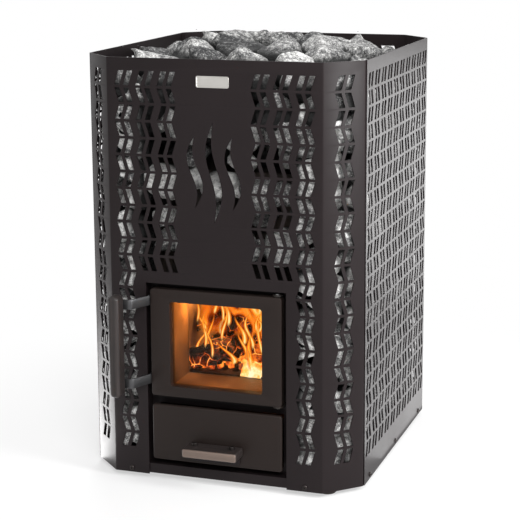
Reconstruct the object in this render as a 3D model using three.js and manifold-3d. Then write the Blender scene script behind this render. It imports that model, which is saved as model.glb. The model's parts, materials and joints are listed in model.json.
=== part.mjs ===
// A wood-burning sauna heater: a perforated eight-sided casing full of stones around a firebox,
// with a glazed door on a hinge and an ash drawer below it.
// Millimetres, +Z up. The origin is on the floor under the middle, and the door faces -Y.

import * as THREE from "three";
import { ConvexGeometry } from "three/addons/geometries/ConvexGeometry.js";
import { mergeGeometries, mergeVertices } from "three/addons/utils/BufferGeometryUtils.js";
import Module from "manifold-3d";

const wasm = await Module();
wasm.setup();

// Gaps: between pieces that rest on each other, and how far a cutter runs past what it cuts
const seat = 0.3;
const overcut = 4;
const weldTolerance = 1e-4;

// Facets of small curved forms
const roundSides = 12;
const screwSides = 8;
const nutSides = 6;
const arcSteps = 3;

// Casing: eight panels of sheet steel that stand clear of the floor
const sheet = 2;
const floorGap = 10;
const casingHeight = 758;
const frontFlat = 394;
const sideFlat = 458;
const cornerLeg = 60;
const sideSeam = 1.2;
const lapLength = 16;
const cornerTurn = Math.PI / 4;
const width = frontFlat + 2 * cornerLeg;
const depth = sideFlat + 2 * cornerLeg;
const casingTop = floorGap + casingHeight;
const frontPlane = -depth / 2;
const mitre = sheet * Math.tan(cornerTurn / 2);

// Perforation: rows of leaning slots, one to a cell on front and corners, wider on sides and rear
const rowPitch = 30;
const slotHeight = 25.5;
const slotLean = 8;
const topMargin = 23;
const bottomMargin = 49.5;
const frontPitch = 40;
const frontCell = 35;
const frontEdgeMargin = 13.5;
const plainHalf = 66;
const doorwayMargin = 12;
const cornerCell = 39;
const sidePitch = 45;
const sideCell = 39;
const sideMargin = 5;
const sideCellsPerSlot = 5;
const rearCellsPerSlot = 3;
const rowCount = Math.floor((casingHeight - topMargin - bottomMargin - slotHeight) / rowPitch) + 1;

// Steam motif: wavy tapered cuts over the door
const steamHeights = [128, 177, 128];
const steamPitch = 35;
const steamHalfWidth = 8;
const steamSway = 9;
const steamSteps = 9;
const steamDrop = 197;
const steamCentre = casingTop - steamDrop;

// Blank plate under the front rim
const plateWidth = 60;
const plateHeight = 20;
const plateThick = 1.2;
const plateRadius = 3;
const plateDrop = 38.5;

// Base: a turned-down steel tray inside the casing's foot, on four screw feet
const baseRise = 20;
const basePlate = 4;
const baseSkirt = 3;
const skirtLift = 2;
const baseCornerInset = 15;
const baseTop = floorGap + baseRise;
const footRadius = 16;
const footDisc = 7;
const footStudRadius = 5;
const footNutRadius = 9.5;
const footNutHeight = 9;
const footEdgeX = 62;
const footEdgeY = 39;

// Casing screws through the panels into the base's skirt
const screwHeadRadius = 4.5;
const screwHeadHeight = 2.6;
const screwRadius = 2.4;
const screwPlay = 0.3;
const screwTail = 3;
const screwRise = 8;
const screwFrontEdge = 32;
const screwSideEdge = 39;

// Ash drawer front, above the base
const drawerLift = 10.5;
const drawerWidth = 245;
const drawerHeight = 103.5;
const drawerThick = 10;
const frontProud = 1;
const faceBevel = 2;
const faceRadius = 5;
const drawerBottom = baseTop + drawerLift;
const drawerTop = drawerBottom + drawerHeight;
const facePlane = frontPlane - frontProud;

// Door above the drawer
const doorLift = 17;
const doorWidth = 245;
const doorHeight = 197;
const doorThick = 22;
const windowWidth = 173;
const windowHeight = 155.5;
const windowSill = 19;
const windowRadius = 4;
const doorBottom = drawerTop + doorLift;
const doorTop = doorBottom + doorHeight;
const windowBottom = doorBottom + windowSill;
const windowTop = windowBottom + windowHeight;
const doorBack = facePlane + doorThick;

// Doorway in the casing
const doorwaySideGap = 8.5;
const doorwayTopGap = 10;
const doorwayHalf = Math.max(doorWidth, drawerWidth) / 2 + doorwaySideGap;
const doorwayTop = doorTop + doorwayTopGap;

// Glass, its retainer and the rope seal in the door's back
const glassThick = 4;
const glassLap = 5;
const rebateDepth = 8;
const retainerThick = 2.4;
const retainerLap = 1.5;
const sealWidth = 9;
const sealInset = 2.5;

// Front frame: the plate behind door and drawer, with a reveal up to the casing
const frameSet = 25;
const frameThick = 5;
const revealGap = 2;
const revealSheet = 3;
const frameFront = frontPlane + sheet + frameSet;
const frameBack = frameFront + frameThick;
const frameHalf = doorwayHalf + revealGap + revealSheet;
const frameTop = doorwayTop + revealGap + revealSheet;

// Hinge on the right: lugs on the frame, pins into the door
const pinRadius = 3;
const pinPlay = 0.3;
const pinInset = 9.5;
const pinSet = 10;
const pinDepth = 12;
const pinHeadRadius = 5;
const pinHeadHeight = 2;
const lugHalf = 9;
const lugThick = 4;
const lugNose = 7;
const pinX = doorWidth / 2 - pinInset;
const pinY = facePlane + pinSet;

// Door handle: two bent flat bars and a wooden grip beside the door
const barThick = 4;
const barHeight = 17.5;
const barFoot = 20;
const barReach = 40;
const barRise = 18.5;
const barTab = 22;
const barSpacing = 145;
const gripWidth = 21;
const gripDepth = 30;
const gripLength = 184;
const gripRadius = 6;
const gripBevel = 3;
const gripLift = 11;
const gripOverhang = 10;
const gripBottom = doorBottom + gripLift;
const barBottom = gripBottom + (gripLength - barSpacing - barHeight) / 2;

// Drawer: tray, angle bracket, wooden handle and its bolts
const trayWidth = 224;
const trayLength = 365;
const trayHeight = 84;
const trayWall = 2;
const drawerGripWidth = 102;
const drawerGripDepth = 41;
const drawerGripThick = 16;
const drawerGripRise = 39.5;
const angleWidth = 90;
const angleThick = 3;
const angleReach = 34;
const angleDrop = 18;
const boltHeadRadius = 5;
const boltHeadHeight = 5;
const boltRadius = 3;
const boltPlay = 0.3;
const boltTail = 4;
const boltSpacing = 70;
const boltSet = 16;
const drawerGripTop = drawerBottom + drawerGripRise;

// Ash passage behind the drawer
const ductPlay = 6;
const ductHeadroom = 15;
const ductWall = 4;
const ductHalf = trayWidth / 2 + ductPlay;
const ductBottom = drawerBottom - seat;
const ductTop = ductBottom + seat + trayHeight + ductHeadroom;

// Throat between the door's window and the firebox
const throatMargin = 4;
const throatWall = 4;
const throatHalf = windowWidth / 2 + throatMargin;
const throatBottom = windowBottom - throatMargin;
const throatTop = windowTop + throatMargin;

// Firebox: a welded box with ledges for the hearth and the baffle, closed by a lid
const boxHalfWidth = 150;
const boxHalfDepth = 190;
const boxHeight = 520;
const boxWall = 5;
const lidThick = 8;
const ledgeWidth = 10;
const ledgeHeight = 8;
const runnerWidth = 16;
const runnerInset = 3;
const hearthGap = 6;
const hearthThick = 6;
const boxBottom = baseTop + seat;
const boxTop = boxBottom + boxHeight;
const lidTop = boxTop + seat + lidThick;
const hearthBottom = ductTop + ductWall + hearthGap + ledgeHeight;
const hearthTop = hearthBottom + hearthThick;

// Grate over a hole in the hearth, bricks round the fire, baffle over it
const grateWidth = 190;
const grateLength = 270;
const grateThick = 12;
const grateLip = 10;
const grateBar = 12;
const grateSlot = 12;
const grateRim = 20;
const grateFrontGap = 10;
const fireForward = boxHalfDepth - boxWall - grateFrontGap - grateLength / 2;
const grateRange = [-fireForward - grateLength / 2, grateLength / 2 - fireForward];
const brickThick = 25;
const brickHeight = 170;
const brickFrontGap = 40;
const baffleDrop = 145;
const baffleThick = 8;
const smokeGap = 75;

// Flue spigot out of the back
const flueRadius = 57;
const flueWall = 3;
const flueDrop = 76;
const flueFlange = 70;
const flueFlangeThick = 4;
const flueHoleGap = 5;
const flueSides = 24;
const flueHeight = boxTop - flueDrop;
const flueEnd = -facePlane + barThick / 2 + barReach + barThick / 2 + seat + gripDepth;

// Fire: embers on the grate, two logs along and one across
const emberHeight = 17;
const emberSlope = 18;
const emberFront = 5;
const logWidth = 84;
const logHeight = 46;
const logLength = 250;
const logGap = 12;
const logSides = 6;
const topLogLength = 215;
const topLogTurn = 0.2;
const topLogForward = 35;

// Stones: heaps between casing and firebox, and a crown over them
const stoneGap = 6;
const stoneKinds = 8;
const stoneReach = 60;
const stoneUneven = 13;
const stoneJitter = 8;
const topPoints = 12;
const topRadius = 48;
const topHalfHeight = 36;
const topPitch = 80;
const topRowPitch = 76;
const topCrown = 30;
const topEdgeDrop = 12;
const topRoot = 60;
const crownDrop = 64;
const crownBed = 8;
const wallPoints = 8;
const wallRadius = 54;
const wallHalfHeight = 46;
const wallPitch = 98;
const wallRecess = 7;
const wallCoreInset = 60;
const wallRoot = 40;
const stoneSeed = 41;
const randomFactor = 16807;
const randomModulus = 2147483647;

// Finishes
const blackPaint = new THREE.MeshStandardMaterial({ color: 0x2c2a2b, roughness: 0.42, metalness: 0.35 });
const darkSteel = new THREE.MeshStandardMaterial({ color: 0x3a3836, roughness: 0.6, metalness: 0.7 });
const greySteel = new THREE.MeshStandardMaterial({ color: 0x77777a, roughness: 0.4, metalness: 0.9 });
const plateMetal = new THREE.MeshStandardMaterial({ color: 0xb5aea6, roughness: 0.35, metalness: 0.8 });
const castIron = new THREE.MeshStandardMaterial({ color: 0x2b2726, roughness: 0.8, metalness: 0.5 });
const fireclay = new THREE.MeshStandardMaterial({ color: 0x8c7458, roughness: 0.95, metalness: 0 });
const stoneGrey = new THREE.MeshStandardMaterial({ color: 0x6f6e6c, roughness: 0.95, metalness: 0 });
const darkWood = new THREE.MeshStandardMaterial({ color: 0x35271f, roughness: 0.6, metalness: 0 });
const fireWood = new THREE.MeshStandardMaterial({ color: 0x4a2d1a, roughness: 0.9, metalness: 0 });
const glowingCoal = new THREE.MeshStandardMaterial({ color: 0xb04010, roughness: 1, metalness: 0 });
const ropeWhite = new THREE.MeshStandardMaterial({ color: 0x6c6a66, roughness: 1, metalness: 0 });
const clearGlass = new THREE.MeshStandardMaterial({
  color: 0xd9c7a8, roughness: 0.05, metalness: 0, transparent: true, opacity: 0.35,
});

// Solids from geometries and back
function solidOf(geometry) {
  const bare = geometry.clone();
  bare.deleteAttribute("normal");
  bare.deleteAttribute("uv");
  const welded = mergeVertices(bare, weldTolerance);
  const mesh = new wasm.Mesh({
    numProp: 3,
    vertProperties: new Float32Array(welded.attributes.position.array),
    triVerts: new Uint32Array(welded.index.array),
  });
  return new wasm.Manifold(mesh);
}

function geometryOf(solid) {
  const mesh = solid.getMesh();
  const geometry = new THREE.BufferGeometry();
  geometry.setAttribute("position", new THREE.BufferAttribute(mesh.vertProperties, 3));
  geometry.setIndex(new THREE.BufferAttribute(mesh.triVerts, 1));
  geometry.computeVertexNormals();
  return geometry;
}

function cut(geometry, ...tools) {
  return geometryOf(tools.reduce((solid, tool) => solid.subtract(solidOf(tool)), solidOf(geometry)));
}

function join(geometry, ...others) {
  return geometryOf(others.reduce((solid, other) => solid.add(solidOf(other)), solidOf(geometry)));
}

function trim(geometry, bounds) {
  return geometryOf(solidOf(geometry).intersect(solidOf(bounds)));
}

// Basic forms, each given by its ranges along the axes
function block([x0, x1], [y0, y1], [z0, z1]) {
  const geometry = new THREE.BoxGeometry(x1 - x0, y1 - y0, z1 - z0);
  return geometry.translate((x0 + x1) / 2, (y0 + y1) / 2, (z0 + z1) / 2);
}

function outline(points) {
  return new THREE.Shape(points.map(([x, y]) => new THREE.Vector2(x, y)));
}

// A plan outline raised from z0 to z1
function upright(points, [z0, z1]) {
  const geometry = new THREE.ExtrudeGeometry(outline(points), { depth: z1 - z0, bevelEnabled: false });
  return geometry.translate(0, 0, z0);
}

// A shape drawn in x and z, as seen from the front, running from y0 back to y1
function through(shape, [y0, y1], bevel = 0) {
  const geometry = new THREE.ExtrudeGeometry(shape, {
    depth: y1 - y0 - 2 * bevel,
    bevelEnabled: bevel > 0,
    bevelThickness: bevel,
    bevelSize: bevel,
    bevelOffset: -bevel,
    bevelSegments: 1,
    curveSegments: arcSteps,
  });
  return geometry.rotateX(Math.PI / 2).translate(0, y1 - bevel, 0);
}

function addRoundedRectangle(path, [x0, x1], [z0, z1], radius) {
  path.moveTo(x0 + radius, z0);
  path.lineTo(x1 - radius, z0);
  path.absarc(x1 - radius, z0 + radius, radius, -Math.PI / 2, 0);
  path.lineTo(x1, z1 - radius);
  path.absarc(x1 - radius, z1 - radius, radius, 0, Math.PI / 2);
  path.lineTo(x0 + radius, z1);
  path.absarc(x0 + radius, z1 - radius, radius, Math.PI / 2, Math.PI);
  path.lineTo(x0, z0 + radius);
  path.absarc(x0 + radius, z0 + radius, radius, Math.PI, 1.5 * Math.PI);
  return path;
}

function roundedRectangle(x, z, radius) {
  return addRoundedRectangle(new THREE.Shape(), x, z, radius);
}

// A turned piece about the z axis from [radius, z] pairs that start and end on the axis or close
function turned(profile, sides = roundSides) {
  const points = profile.map(([radius, z]) => new THREE.Vector2(radius, z));
  return new THREE.LatheGeometry(points, sides).rotateX(Math.PI / 2);
}

function rod(radius, [z0, z1], sides = roundSides) {
  return turned([[0, z0], [radius, z0], [radius, z1], [0, z1]], sides);
}

// The same rod lying along y
function crossRod(radius, [y0, y1], sides = roundSides) {
  return rod(radius, [-y1, -y0], sides).rotateX(Math.PI / 2);
}

// A strip of even thickness along a plan line, mitred at its bends
function bentStrip(line, thickness) {
  const spine = line.map(([x, y]) => new THREE.Vector2(x, y));
  const sides = spine.map((point, index) => {
    const before = spine[Math.max(index - 1, 0)];
    const after = spine[Math.min(index + 1, spine.length - 1)];
    const arrive = index > 0 ? point.clone().sub(before).normalize() : after.clone().sub(point).normalize();
    const leave = index < spine.length - 1 ? after.clone().sub(point).normalize() : arrive.clone();
    const along = arrive.clone().add(leave).normalize();
    const reach = thickness / 2 / along.dot(arrive);
    const offset = new THREE.Vector2(-along.y, along.x).multiplyScalar(reach);
    return [point.clone().add(offset), point.clone().sub(offset)];
  });
  const left = sides.map(([point]) => [point.x, point.y]);
  const right = sides.map(([, point]) => [point.x, point.y]).reverse();
  return [...left, ...right];
}

// The casing's plan, drawn in by an inset, with its own inset on the corner faces
function octagon(inset, cornerInset = inset) {
  const x = width / 2 - inset;
  const y = depth / 2 - inset;
  const reach = frontFlat / 2 + depth / 2 - cornerInset * Math.SQRT2;
  const quarter = [[reach - y, -y], [x, x - reach], [x, reach - x], [reach - y, y]];
  const mirrored = quarter.map(([px, py]) => [-px, py]).reverse();
  return [...quarter, ...mirrored];
}

const stove = new THREE.Group();

function add(parent, name, geometry, material) {
  const mesh = new THREE.Mesh(geometry, material);
  mesh.name = name;
  parent.add(mesh);
  return mesh;
}

// Slots in a panel, drawn as the panel is seen from outside
function slotShape(left, right, bottom, row) {
  const lean = row % 2 === 0 ? slotLean : -slotLean;
  const low = Math.max(-lean, 0);
  const high = Math.max(lean, 0);
  return outline([
    [left + low, bottom],
    [right - high, bottom],
    [right - low, bottom + slotHeight],
    [left + high, bottom + slotHeight],
  ]);
}

function rowBottom(row) {
  return casingTop - topMargin - slotHeight - row * rowPitch;
}

// Slots for one panel: spans gives each row's [left, right] pairs
function slotCutters(spans) {
  const cutters = [];
  for (let row = 0; row < rowCount; row += 1) {
    for (const [left, right] of spans(rowBottom(row))) {
      cutters.push(through(slotShape(left, right, rowBottom(row), row), [-overcut, sheet + overcut]));
    }
  }
  return mergeGeometries(cutters);
}

// Centres of the front's slot columns on one side, from the outer one inwards
function frontColumns() {
  const outer = frontFlat / 2 - frontEdgeMargin - frontCell / 2;
  const count = Math.floor((outer - frontCell / 2 - plainHalf) / frontPitch) + 1;
  return Array.from({ length: count }, (_, index) => outer - index * frontPitch);
}

function frontSpans(bottom) {
  const clear = bottom > doorwayTop + doorwayMargin ? 0 : doorwayHalf + doorwayMargin;
  const kept = frontColumns().filter((centre) => centre - frontCell / 2 > clear);
  return kept.flatMap((centre) => [
    [centre - frontCell / 2, centre + frontCell / 2],
    [-centre - frontCell / 2, -centre + frontCell / 2],
  ]);
}

function rearSpans() {
  const columns = frontColumns();
  const groups = [];
  for (let first = 0; first < columns.length; first += rearCellsPerSlot) {
    const group = columns.slice(first, first + rearCellsPerSlot);
    const outer = group[0] + frontCell / 2;
    const inner = group[group.length - 1] - frontCell / 2;
    groups.push([inner, outer], [-outer, -inner]);
  }
  return groups;
}

function sideSpans() {
  const room = sideFlat - 2 * sideMargin - sideCell;
  const count = Math.floor(room / sidePitch) + 1;
  const first = -((count - 1) * sidePitch) / 2;
  const spans = [];
  for (let cell = 0; cell < count; cell += sideCellsPerSlot) {
    const last = Math.min(cell + sideCellsPerSlot, count) - 1;
    spans.push([first + cell * sidePitch - sideCell / 2, first + last * sidePitch + sideCell / 2]);
  }
  return spans;
}

function cornerSpans() {
  return [[-cornerCell / 2, cornerCell / 2]];
}

// One rising wisp: a wavy line that swells and tapers to both ends
function steamShape(centre, height, phase) {
  const edge = (side) => Array.from({ length: steamSteps + 1 }, (_, step) => {
    const share = step / steamSteps;
    const sway = steamSway * Math.sin(phase + 2 * Math.PI * share);
    const swell = steamHalfWidth * Math.sin(Math.PI * share);
    return [centre + sway + side * swell, steamCentre + (share - 0.5) * height];
  });
  const right = edge(1);
  const left = edge(-1).slice(1, -1).reverse();
  return outline([...right, ...left]);
}

function steamCutters() {
  const middle = (steamHeights.length - 1) / 2;
  const cutters = steamHeights.map((height, index) => {
    const shape = steamShape((index - middle) * steamPitch, height, 0);
    return through(shape, [-overcut, sheet + overcut]);
  });
  return mergeGeometries(cutters);
}

// Casing faces: each group has x to the right as seen from outside, y inwards and z up
function face(turn, x, y) {
  const group = new THREE.Group();
  group.position.set(x, y, 0);
  group.rotation.z = turn;
  stove.add(group);
  return group;
}

function screwHole([x, z]) {
  const hole = crossRod(screwRadius + screwPlay, [-overcut, sheet + baseSkirt + overcut], screwSides);
  return hole.translate(x, 0, z);
}

function addScrews(parent, name, places) {
  const shank = sheet + seat + baseSkirt + screwTail;
  const profile = [
    [0, -screwHeadHeight - seat],
    [screwHeadRadius, -screwHeadHeight / 2 - seat],
    [screwHeadRadius, -seat],
    [screwRadius, -seat],
    [screwRadius, shank],
    [0, shank],
  ];
  places.forEach(([x, z], index) => {
    const geometry = turned(profile, screwSides).rotateX(-Math.PI / 2);
    add(parent, `${name}_${index + 1}`, geometry, greySteel).position.set(x, 0, z);
  });
}

const screwHeight = floorGap + screwRise;
const frontScrews = [-1, 1].map((side) => [side * (frontFlat / 2 - screwFrontEdge), screwHeight]);
const sideScrews = [-1, 0, 1].map((side) => [side * (sideFlat / 2 - screwSideEdge), screwHeight]);

function straightPanel(half, taper) {
  return upright(
    [[-half, 0], [half, 0], [half - taper, sheet], [taper - half, sheet]],
    [floorGap, casingTop],
  );
}

function addFrontPanel() {
  const group = face(0, 0, frontPlane);
  const doorway = block([-doorwayHalf, doorwayHalf], [-overcut, overcut], [0, doorwayTop]);
  const holes = frontScrews.map(screwHole);
  const blank = straightPanel(frontFlat / 2 - seat / 2, mitre);
  const panel = cut(blank, doorway, slotCutters(frontSpans), steamCutters(), ...holes);
  add(group, "casing_front", panel, blackPaint);
  addScrews(group, "screw_front", frontScrews);
  const plate = roundedRectangle(
    [-plateWidth / 2, plateWidth / 2],
    [casingTop - plateDrop - plateHeight / 2, casingTop - plateDrop + plateHeight / 2],
    plateRadius,
  );
  add(group, "blank_plate", through(plate, [-seat - plateThick, -seat]), plateMetal);
}

function addRearPanel() {
  const group = face(Math.PI, 0, -frontPlane);
  const hole = crossRod(flueRadius + flueHoleGap, [-overcut, sheet + overcut], flueSides);
  const blank = straightPanel(frontFlat / 2 - seat / 2, mitre);
  add(
    group,
    "casing_rear",
    cut(blank, slotCutters(rearSpans), hole.translate(0, 0, flueHeight)),
    blackPaint,
  );
}

function addSidePanel(name, side) {
  const group = face(side * Math.PI / 2, side * width / 2, 0);
  const blank = straightPanel(sideFlat / 2 - sideSeam, 0);
  const holes = sideScrews.map(screwHole);
  add(group, `casing_${name}`, cut(blank, slotCutters(sideSpans), ...holes), blackPaint);
  addScrews(group, `screw_${name}`, sideScrews);
}

// A corner panel bends once more and runs on behind the side panel as a lap
function cornerPlan(lapSide) {
  const half = cornerLeg / Math.SQRT2;
  const slip = sheet + seat;
  const [cos, sin] = [Math.cos(cornerTurn), Math.sin(cornerTurn)];
  const behind = (along, inset) => [half + along * cos - inset * sin, along * sin + inset * cos];
  const bendInner = half + sheet - Math.SQRT2 * (slip + sheet);
  const plan = [
    [seat / 2 - half, 0],
    [half - slip * Math.SQRT2, 0],
    behind(lapLength, slip),
    behind(lapLength, slip + sheet),
    [bendInner, sheet],
    [seat / 2 + mitre - half, sheet],
  ];
  return plan.map(([x, y]) => [lapSide * x, y]);
}

function addCorner(name, turn, sideX, sideY, lapSide) {
  const middleX = sideX * (frontFlat / 2 + cornerLeg / 2);
  const middleY = sideY * (sideFlat / 2 + cornerLeg / 2);
  const blank = upright(cornerPlan(lapSide), [floorGap, casingTop]);
  add(face(turn, middleX, middleY), name, cut(blank, slotCutters(cornerSpans)), blackPaint);
}

function addCasing() {
  addFrontPanel();
  addRearPanel();
  addSidePanel("right", 1);
  addSidePanel("left", -1);
  addCorner("corner_front_right", cornerTurn, 1, -1, 1);
  addCorner("corner_front_left", -cornerTurn, -1, -1, -1);
  addCorner("corner_rear_right", 3 * cornerTurn, 1, 1, -1);
  addCorner("corner_rear_left", -3 * cornerTurn, -1, 1, 1);
}

// Base tray and feet
const footPlaces = [
  ["front_left", -1, -1],
  ["front_right", 1, -1],
  ["rear_left", -1, 1],
  ["rear_right", 1, 1],
].map(([name, x, y]) => [name, x * (width / 2 - footEdgeX), y * (depth / 2 - footEdgeY)]);

function addBase() {
  const inset = sheet + seat;
  const bottom = floorGap + skirtLift;
  const blank = upright(octagon(inset, baseCornerInset), [bottom, baseTop]);
  const hollow = upright(
    octagon(inset + baseSkirt, baseCornerInset + baseSkirt),
    [bottom - overcut, baseTop - basePlate],
  );
  const studHoles = footPlaces.map(([, x, y]) => {
    const hole = rod(footStudRadius + seat, [baseTop - basePlate - overcut, baseTop + overcut]);
    return hole.translate(x, y, 0);
  });
  const frontHoles = frontScrews.map((place) => screwHole(place).translate(0, frontPlane, 0));
  const sideHoles = [-1, 1].flatMap((side) => sideScrews.map((place) => {
    const hole = screwHole(place).translate(0, -width / 2, 0);
    return hole.rotateZ(side * Math.PI / 2);
  }));
  add(stove, "base_tray", cut(blank, hollow, ...studHoles, ...frontHoles, ...sideHoles), blackPaint);
}

function addFeet() {
  const plateUnder = baseTop - basePlate - seat;
  const body = turned([
    [0, 0],
    [footRadius, 0],
    [footRadius, footDisc],
    [footStudRadius, footDisc],
    [footStudRadius, baseTop - seat],
    [0, baseTop - seat],
  ]);
  const nut = rod(footNutRadius, [plateUnder - footNutHeight, plateUnder], nutSides);
  for (const [name, x, y] of footPlaces) {
    add(stove, `foot_${name}`, join(body, nut), darkSteel).position.set(x, y, 0);
  }
}

// Firebox
const innerHalfWidth = boxHalfWidth - boxWall;
const innerHalfDepth = boxHalfDepth - boxWall;
const baffleBottom = boxTop - baffleDrop;

function ledge(side, top) {
  const x = [side * innerHalfWidth, side * (innerHalfWidth - ledgeWidth)].sort((a, b) => a - b);
  return block(x, [-innerHalfDepth, innerHalfDepth], [top - ledgeHeight, top]);
}

function runner(side) {
  const outer = trayWidth / 2 - runnerInset;
  const x = [side * outer, side * (outer - runnerWidth)].sort((a, b) => a - b);
  return block(x, [-innerHalfDepth, innerHalfDepth], [boxBottom + boxWall, ductBottom]);
}

function addFirebox() {
  const outer = block([-boxHalfWidth, boxHalfWidth], [-boxHalfDepth, boxHalfDepth], [boxBottom, boxTop]);
  const inner = block(
    [-innerHalfWidth, innerHalfWidth],
    [-innerHalfDepth, innerHalfDepth],
    [boxBottom + boxWall, boxTop + overcut],
  );
  const frontWall = [-boxHalfDepth - overcut, -innerHalfDepth + overcut];
  const throatHole = block([-throatHalf, throatHalf], frontWall, [throatBottom, throatTop]);
  const ductHole = block([-ductHalf, ductHalf], frontWall, [ductBottom, ductTop]);
  const flueHole = crossRod(
    flueRadius + seat,
    [innerHalfDepth - overcut, boxHalfDepth + overcut],
    flueSides,
  ).translate(0, 0, flueHeight);
  const hearthLedges = [-1, 1].map((side) => ledge(side, hearthBottom - seat));
  const baffleLedges = [-1, 1].map((side) => ledge(side, baffleBottom - seat));
  const shell = cut(outer, inner);
  const fitted = join(shell, ...hearthLedges, ...baffleLedges, runner(-1), runner(1));
  add(stove, "firebox_shell", cut(fitted, throatHole, ductHole, flueHole), darkSteel);
  add(
    stove,
    "firebox_lid",
    block([-boxHalfWidth, boxHalfWidth], [-boxHalfDepth, boxHalfDepth], [boxTop + seat, lidTop]),
    darkSteel,
  );
}

// Rectangular duct along y with an even wall
function duct(half, [z0, z1], wall, [y0, y1]) {
  const outer = block([-half - wall, half + wall], [y0, y1], [z0 - wall, z1 + wall]);
  const bore = block([-half, half], [y0 - overcut, y1 + overcut], [z0, z1]);
  return cut(outer, bore);
}

function addFront() {
  const plate = block([-frameHalf, frameHalf], [frameFront, frameBack], [boxBottom, frameTop]);
  const revealFront = frontPlane + sheet + seat;
  const reveal = block([-frameHalf, frameHalf], [revealFront, frameFront], [boxBottom, frameTop]);
  const revealHollow = block(
    [revealSheet - frameHalf, frameHalf - revealSheet],
    [revealFront - overcut, frameFront],
    [boxBottom - overcut, frameTop - revealSheet],
  );
  const plateRange = [frameFront - overcut, frameBack + overcut];
  const throatHole = block([-throatHalf, throatHalf], plateRange, [throatBottom, throatTop]);
  const ductHole = block([-ductHalf, ductHalf], plateRange, [ductBottom, ductTop]);
  const frame = join(plate, cut(reveal, revealHollow));
  add(stove, "front_frame", cut(frame, throatHole, ductHole), blackPaint);
  const span = [frameBack + seat, -boxHalfDepth - seat];
  add(stove, "throat", duct(throatHalf, [throatBottom, throatTop], throatWall, span), darkSteel);
  add(stove, "ash_duct", duct(ductHalf, [ductBottom, ductTop], ductWall, span), darkSteel);
}

function addHearth() {
  const hole = block(
    [grateLip - grateWidth / 2, grateWidth / 2 - grateLip],
    [grateRange[0] + grateLip, grateRange[1] - grateLip],
    [hearthBottom - overcut, hearthTop + overcut],
  );
  const plate = block(
    [seat - innerHalfWidth, innerHalfWidth - seat],
    [seat - innerHalfDepth, innerHalfDepth - seat],
    [hearthBottom, hearthTop],
  );
  add(stove, "hearth_plate", cut(plate, hole), darkSteel);

  const grateBottom = hearthTop + seat;
  const slotRun = grateWidth / 2 - grateRim;
  const slotCount = Math.floor((2 * slotRun + grateBar) / (grateBar + grateSlot));
  const firstSlot = -((slotCount - 1) * (grateBar + grateSlot)) / 2;
  const slots = Array.from({ length: slotCount }, (_, index) => {
    const centre = firstSlot + index * (grateBar + grateSlot);
    return block(
      [centre - grateSlot / 2, centre + grateSlot / 2],
      [grateRange[0] + grateRim, grateRange[1] - grateRim],
      [grateBottom - overcut, grateBottom + grateThick + overcut],
    );
  });
  const grate = block(
    [-grateWidth / 2, grateWidth / 2],
    grateRange,
    [grateBottom, grateBottom + grateThick],
  );
  add(stove, "grate", cut(grate, ...slots), castIron);
}

function addBricks() {
  const brickBottom = hearthTop + seat;
  const brickRange = [brickBottom, brickBottom + brickHeight];
  const outer = innerHalfWidth - seat;
  const alongSide = [brickFrontGap - innerHalfDepth, innerHalfDepth - seat];
  const left = block([-outer, brickThick - outer], alongSide, brickRange);
  add(stove, "firebrick_left", left, fireclay);
  add(stove, "firebrick_right", block([outer - brickThick, outer], alongSide, brickRange), fireclay);
  const between = outer - brickThick - seat;
  const back = [innerHalfDepth - seat - brickThick, innerHalfDepth - seat];
  add(stove, "firebrick_rear", block([-between, between], back, brickRange), fireclay);

  const baffle = block(
    [seat - innerHalfWidth, innerHalfWidth - seat],
    [smokeGap - innerHalfDepth, innerHalfDepth - seat],
    [baffleBottom, baffleBottom + baffleThick],
  );
  add(stove, "baffle_plate", baffle, darkSteel);
}

function addFlue() {
  const start = innerHalfDepth;
  const flange = boxHalfDepth + seat;
  const bore = flueRadius - flueWall;
  const profile = [
    [bore, start],
    [flueRadius, start],
    [flueRadius, flange],
    [flueFlange, flange],
    [flueFlange, flange + flueFlangeThick],
    [flueRadius, flange + flueFlangeThick],
    [flueRadius, flueEnd],
    [bore, flueEnd],
    [bore, start],
  ];
  const spigot = turned(profile, flueSides).rotateX(-Math.PI / 2);
  add(stove, "flue_spigot", spigot, darkSteel).position.z = flueHeight;
}

// Fire
function logPlan() {
  const points = Array.from({ length: logSides + 1 }, (_, step) => {
    const angle = Math.PI * step / logSides;
    return [Math.cos(angle) * logWidth / 2, Math.sin(angle) * logHeight];
  });
  return outline(points);
}

function addFire() {
  const emberBottom = hearthTop + seat + grateThick + seat;
  const emberTop = emberBottom + emberHeight;
  const half = grateWidth / 2 - emberFront;
  const length = grateLength / 2 - emberFront;
  const corners = [[-1, -1], [1, -1], [1, 1], [-1, 1]].flatMap(([x, y]) => [
    new THREE.Vector3(x * half, y * length - fireForward, emberBottom),
    new THREE.Vector3(x * (half - emberSlope), y * (length - emberSlope) - fireForward, emberTop),
  ]);
  add(stove, "ember_bed", new ConvexGeometry(corners), glowingCoal);

  const logBottom = emberTop + seat;
  for (const [name, side] of [["left", -1], ["right", 1]]) {
    const log = add(stove, `log_${name}`, through(logPlan(), [-logLength / 2, logLength / 2]), fireWood);
    log.position.set(side * (logWidth + logGap) / 2, -fireForward, logBottom);
  }
  const top = through(logPlan(), [-topLogLength / 2, topLogLength / 2]);
  const cross = add(stove, "log_top", top, fireWood);
  cross.position.set(0, -fireForward - topLogForward, logBottom + logHeight + seat);
  cross.rotation.z = Math.PI / 2 + topLogTurn;
}

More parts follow.
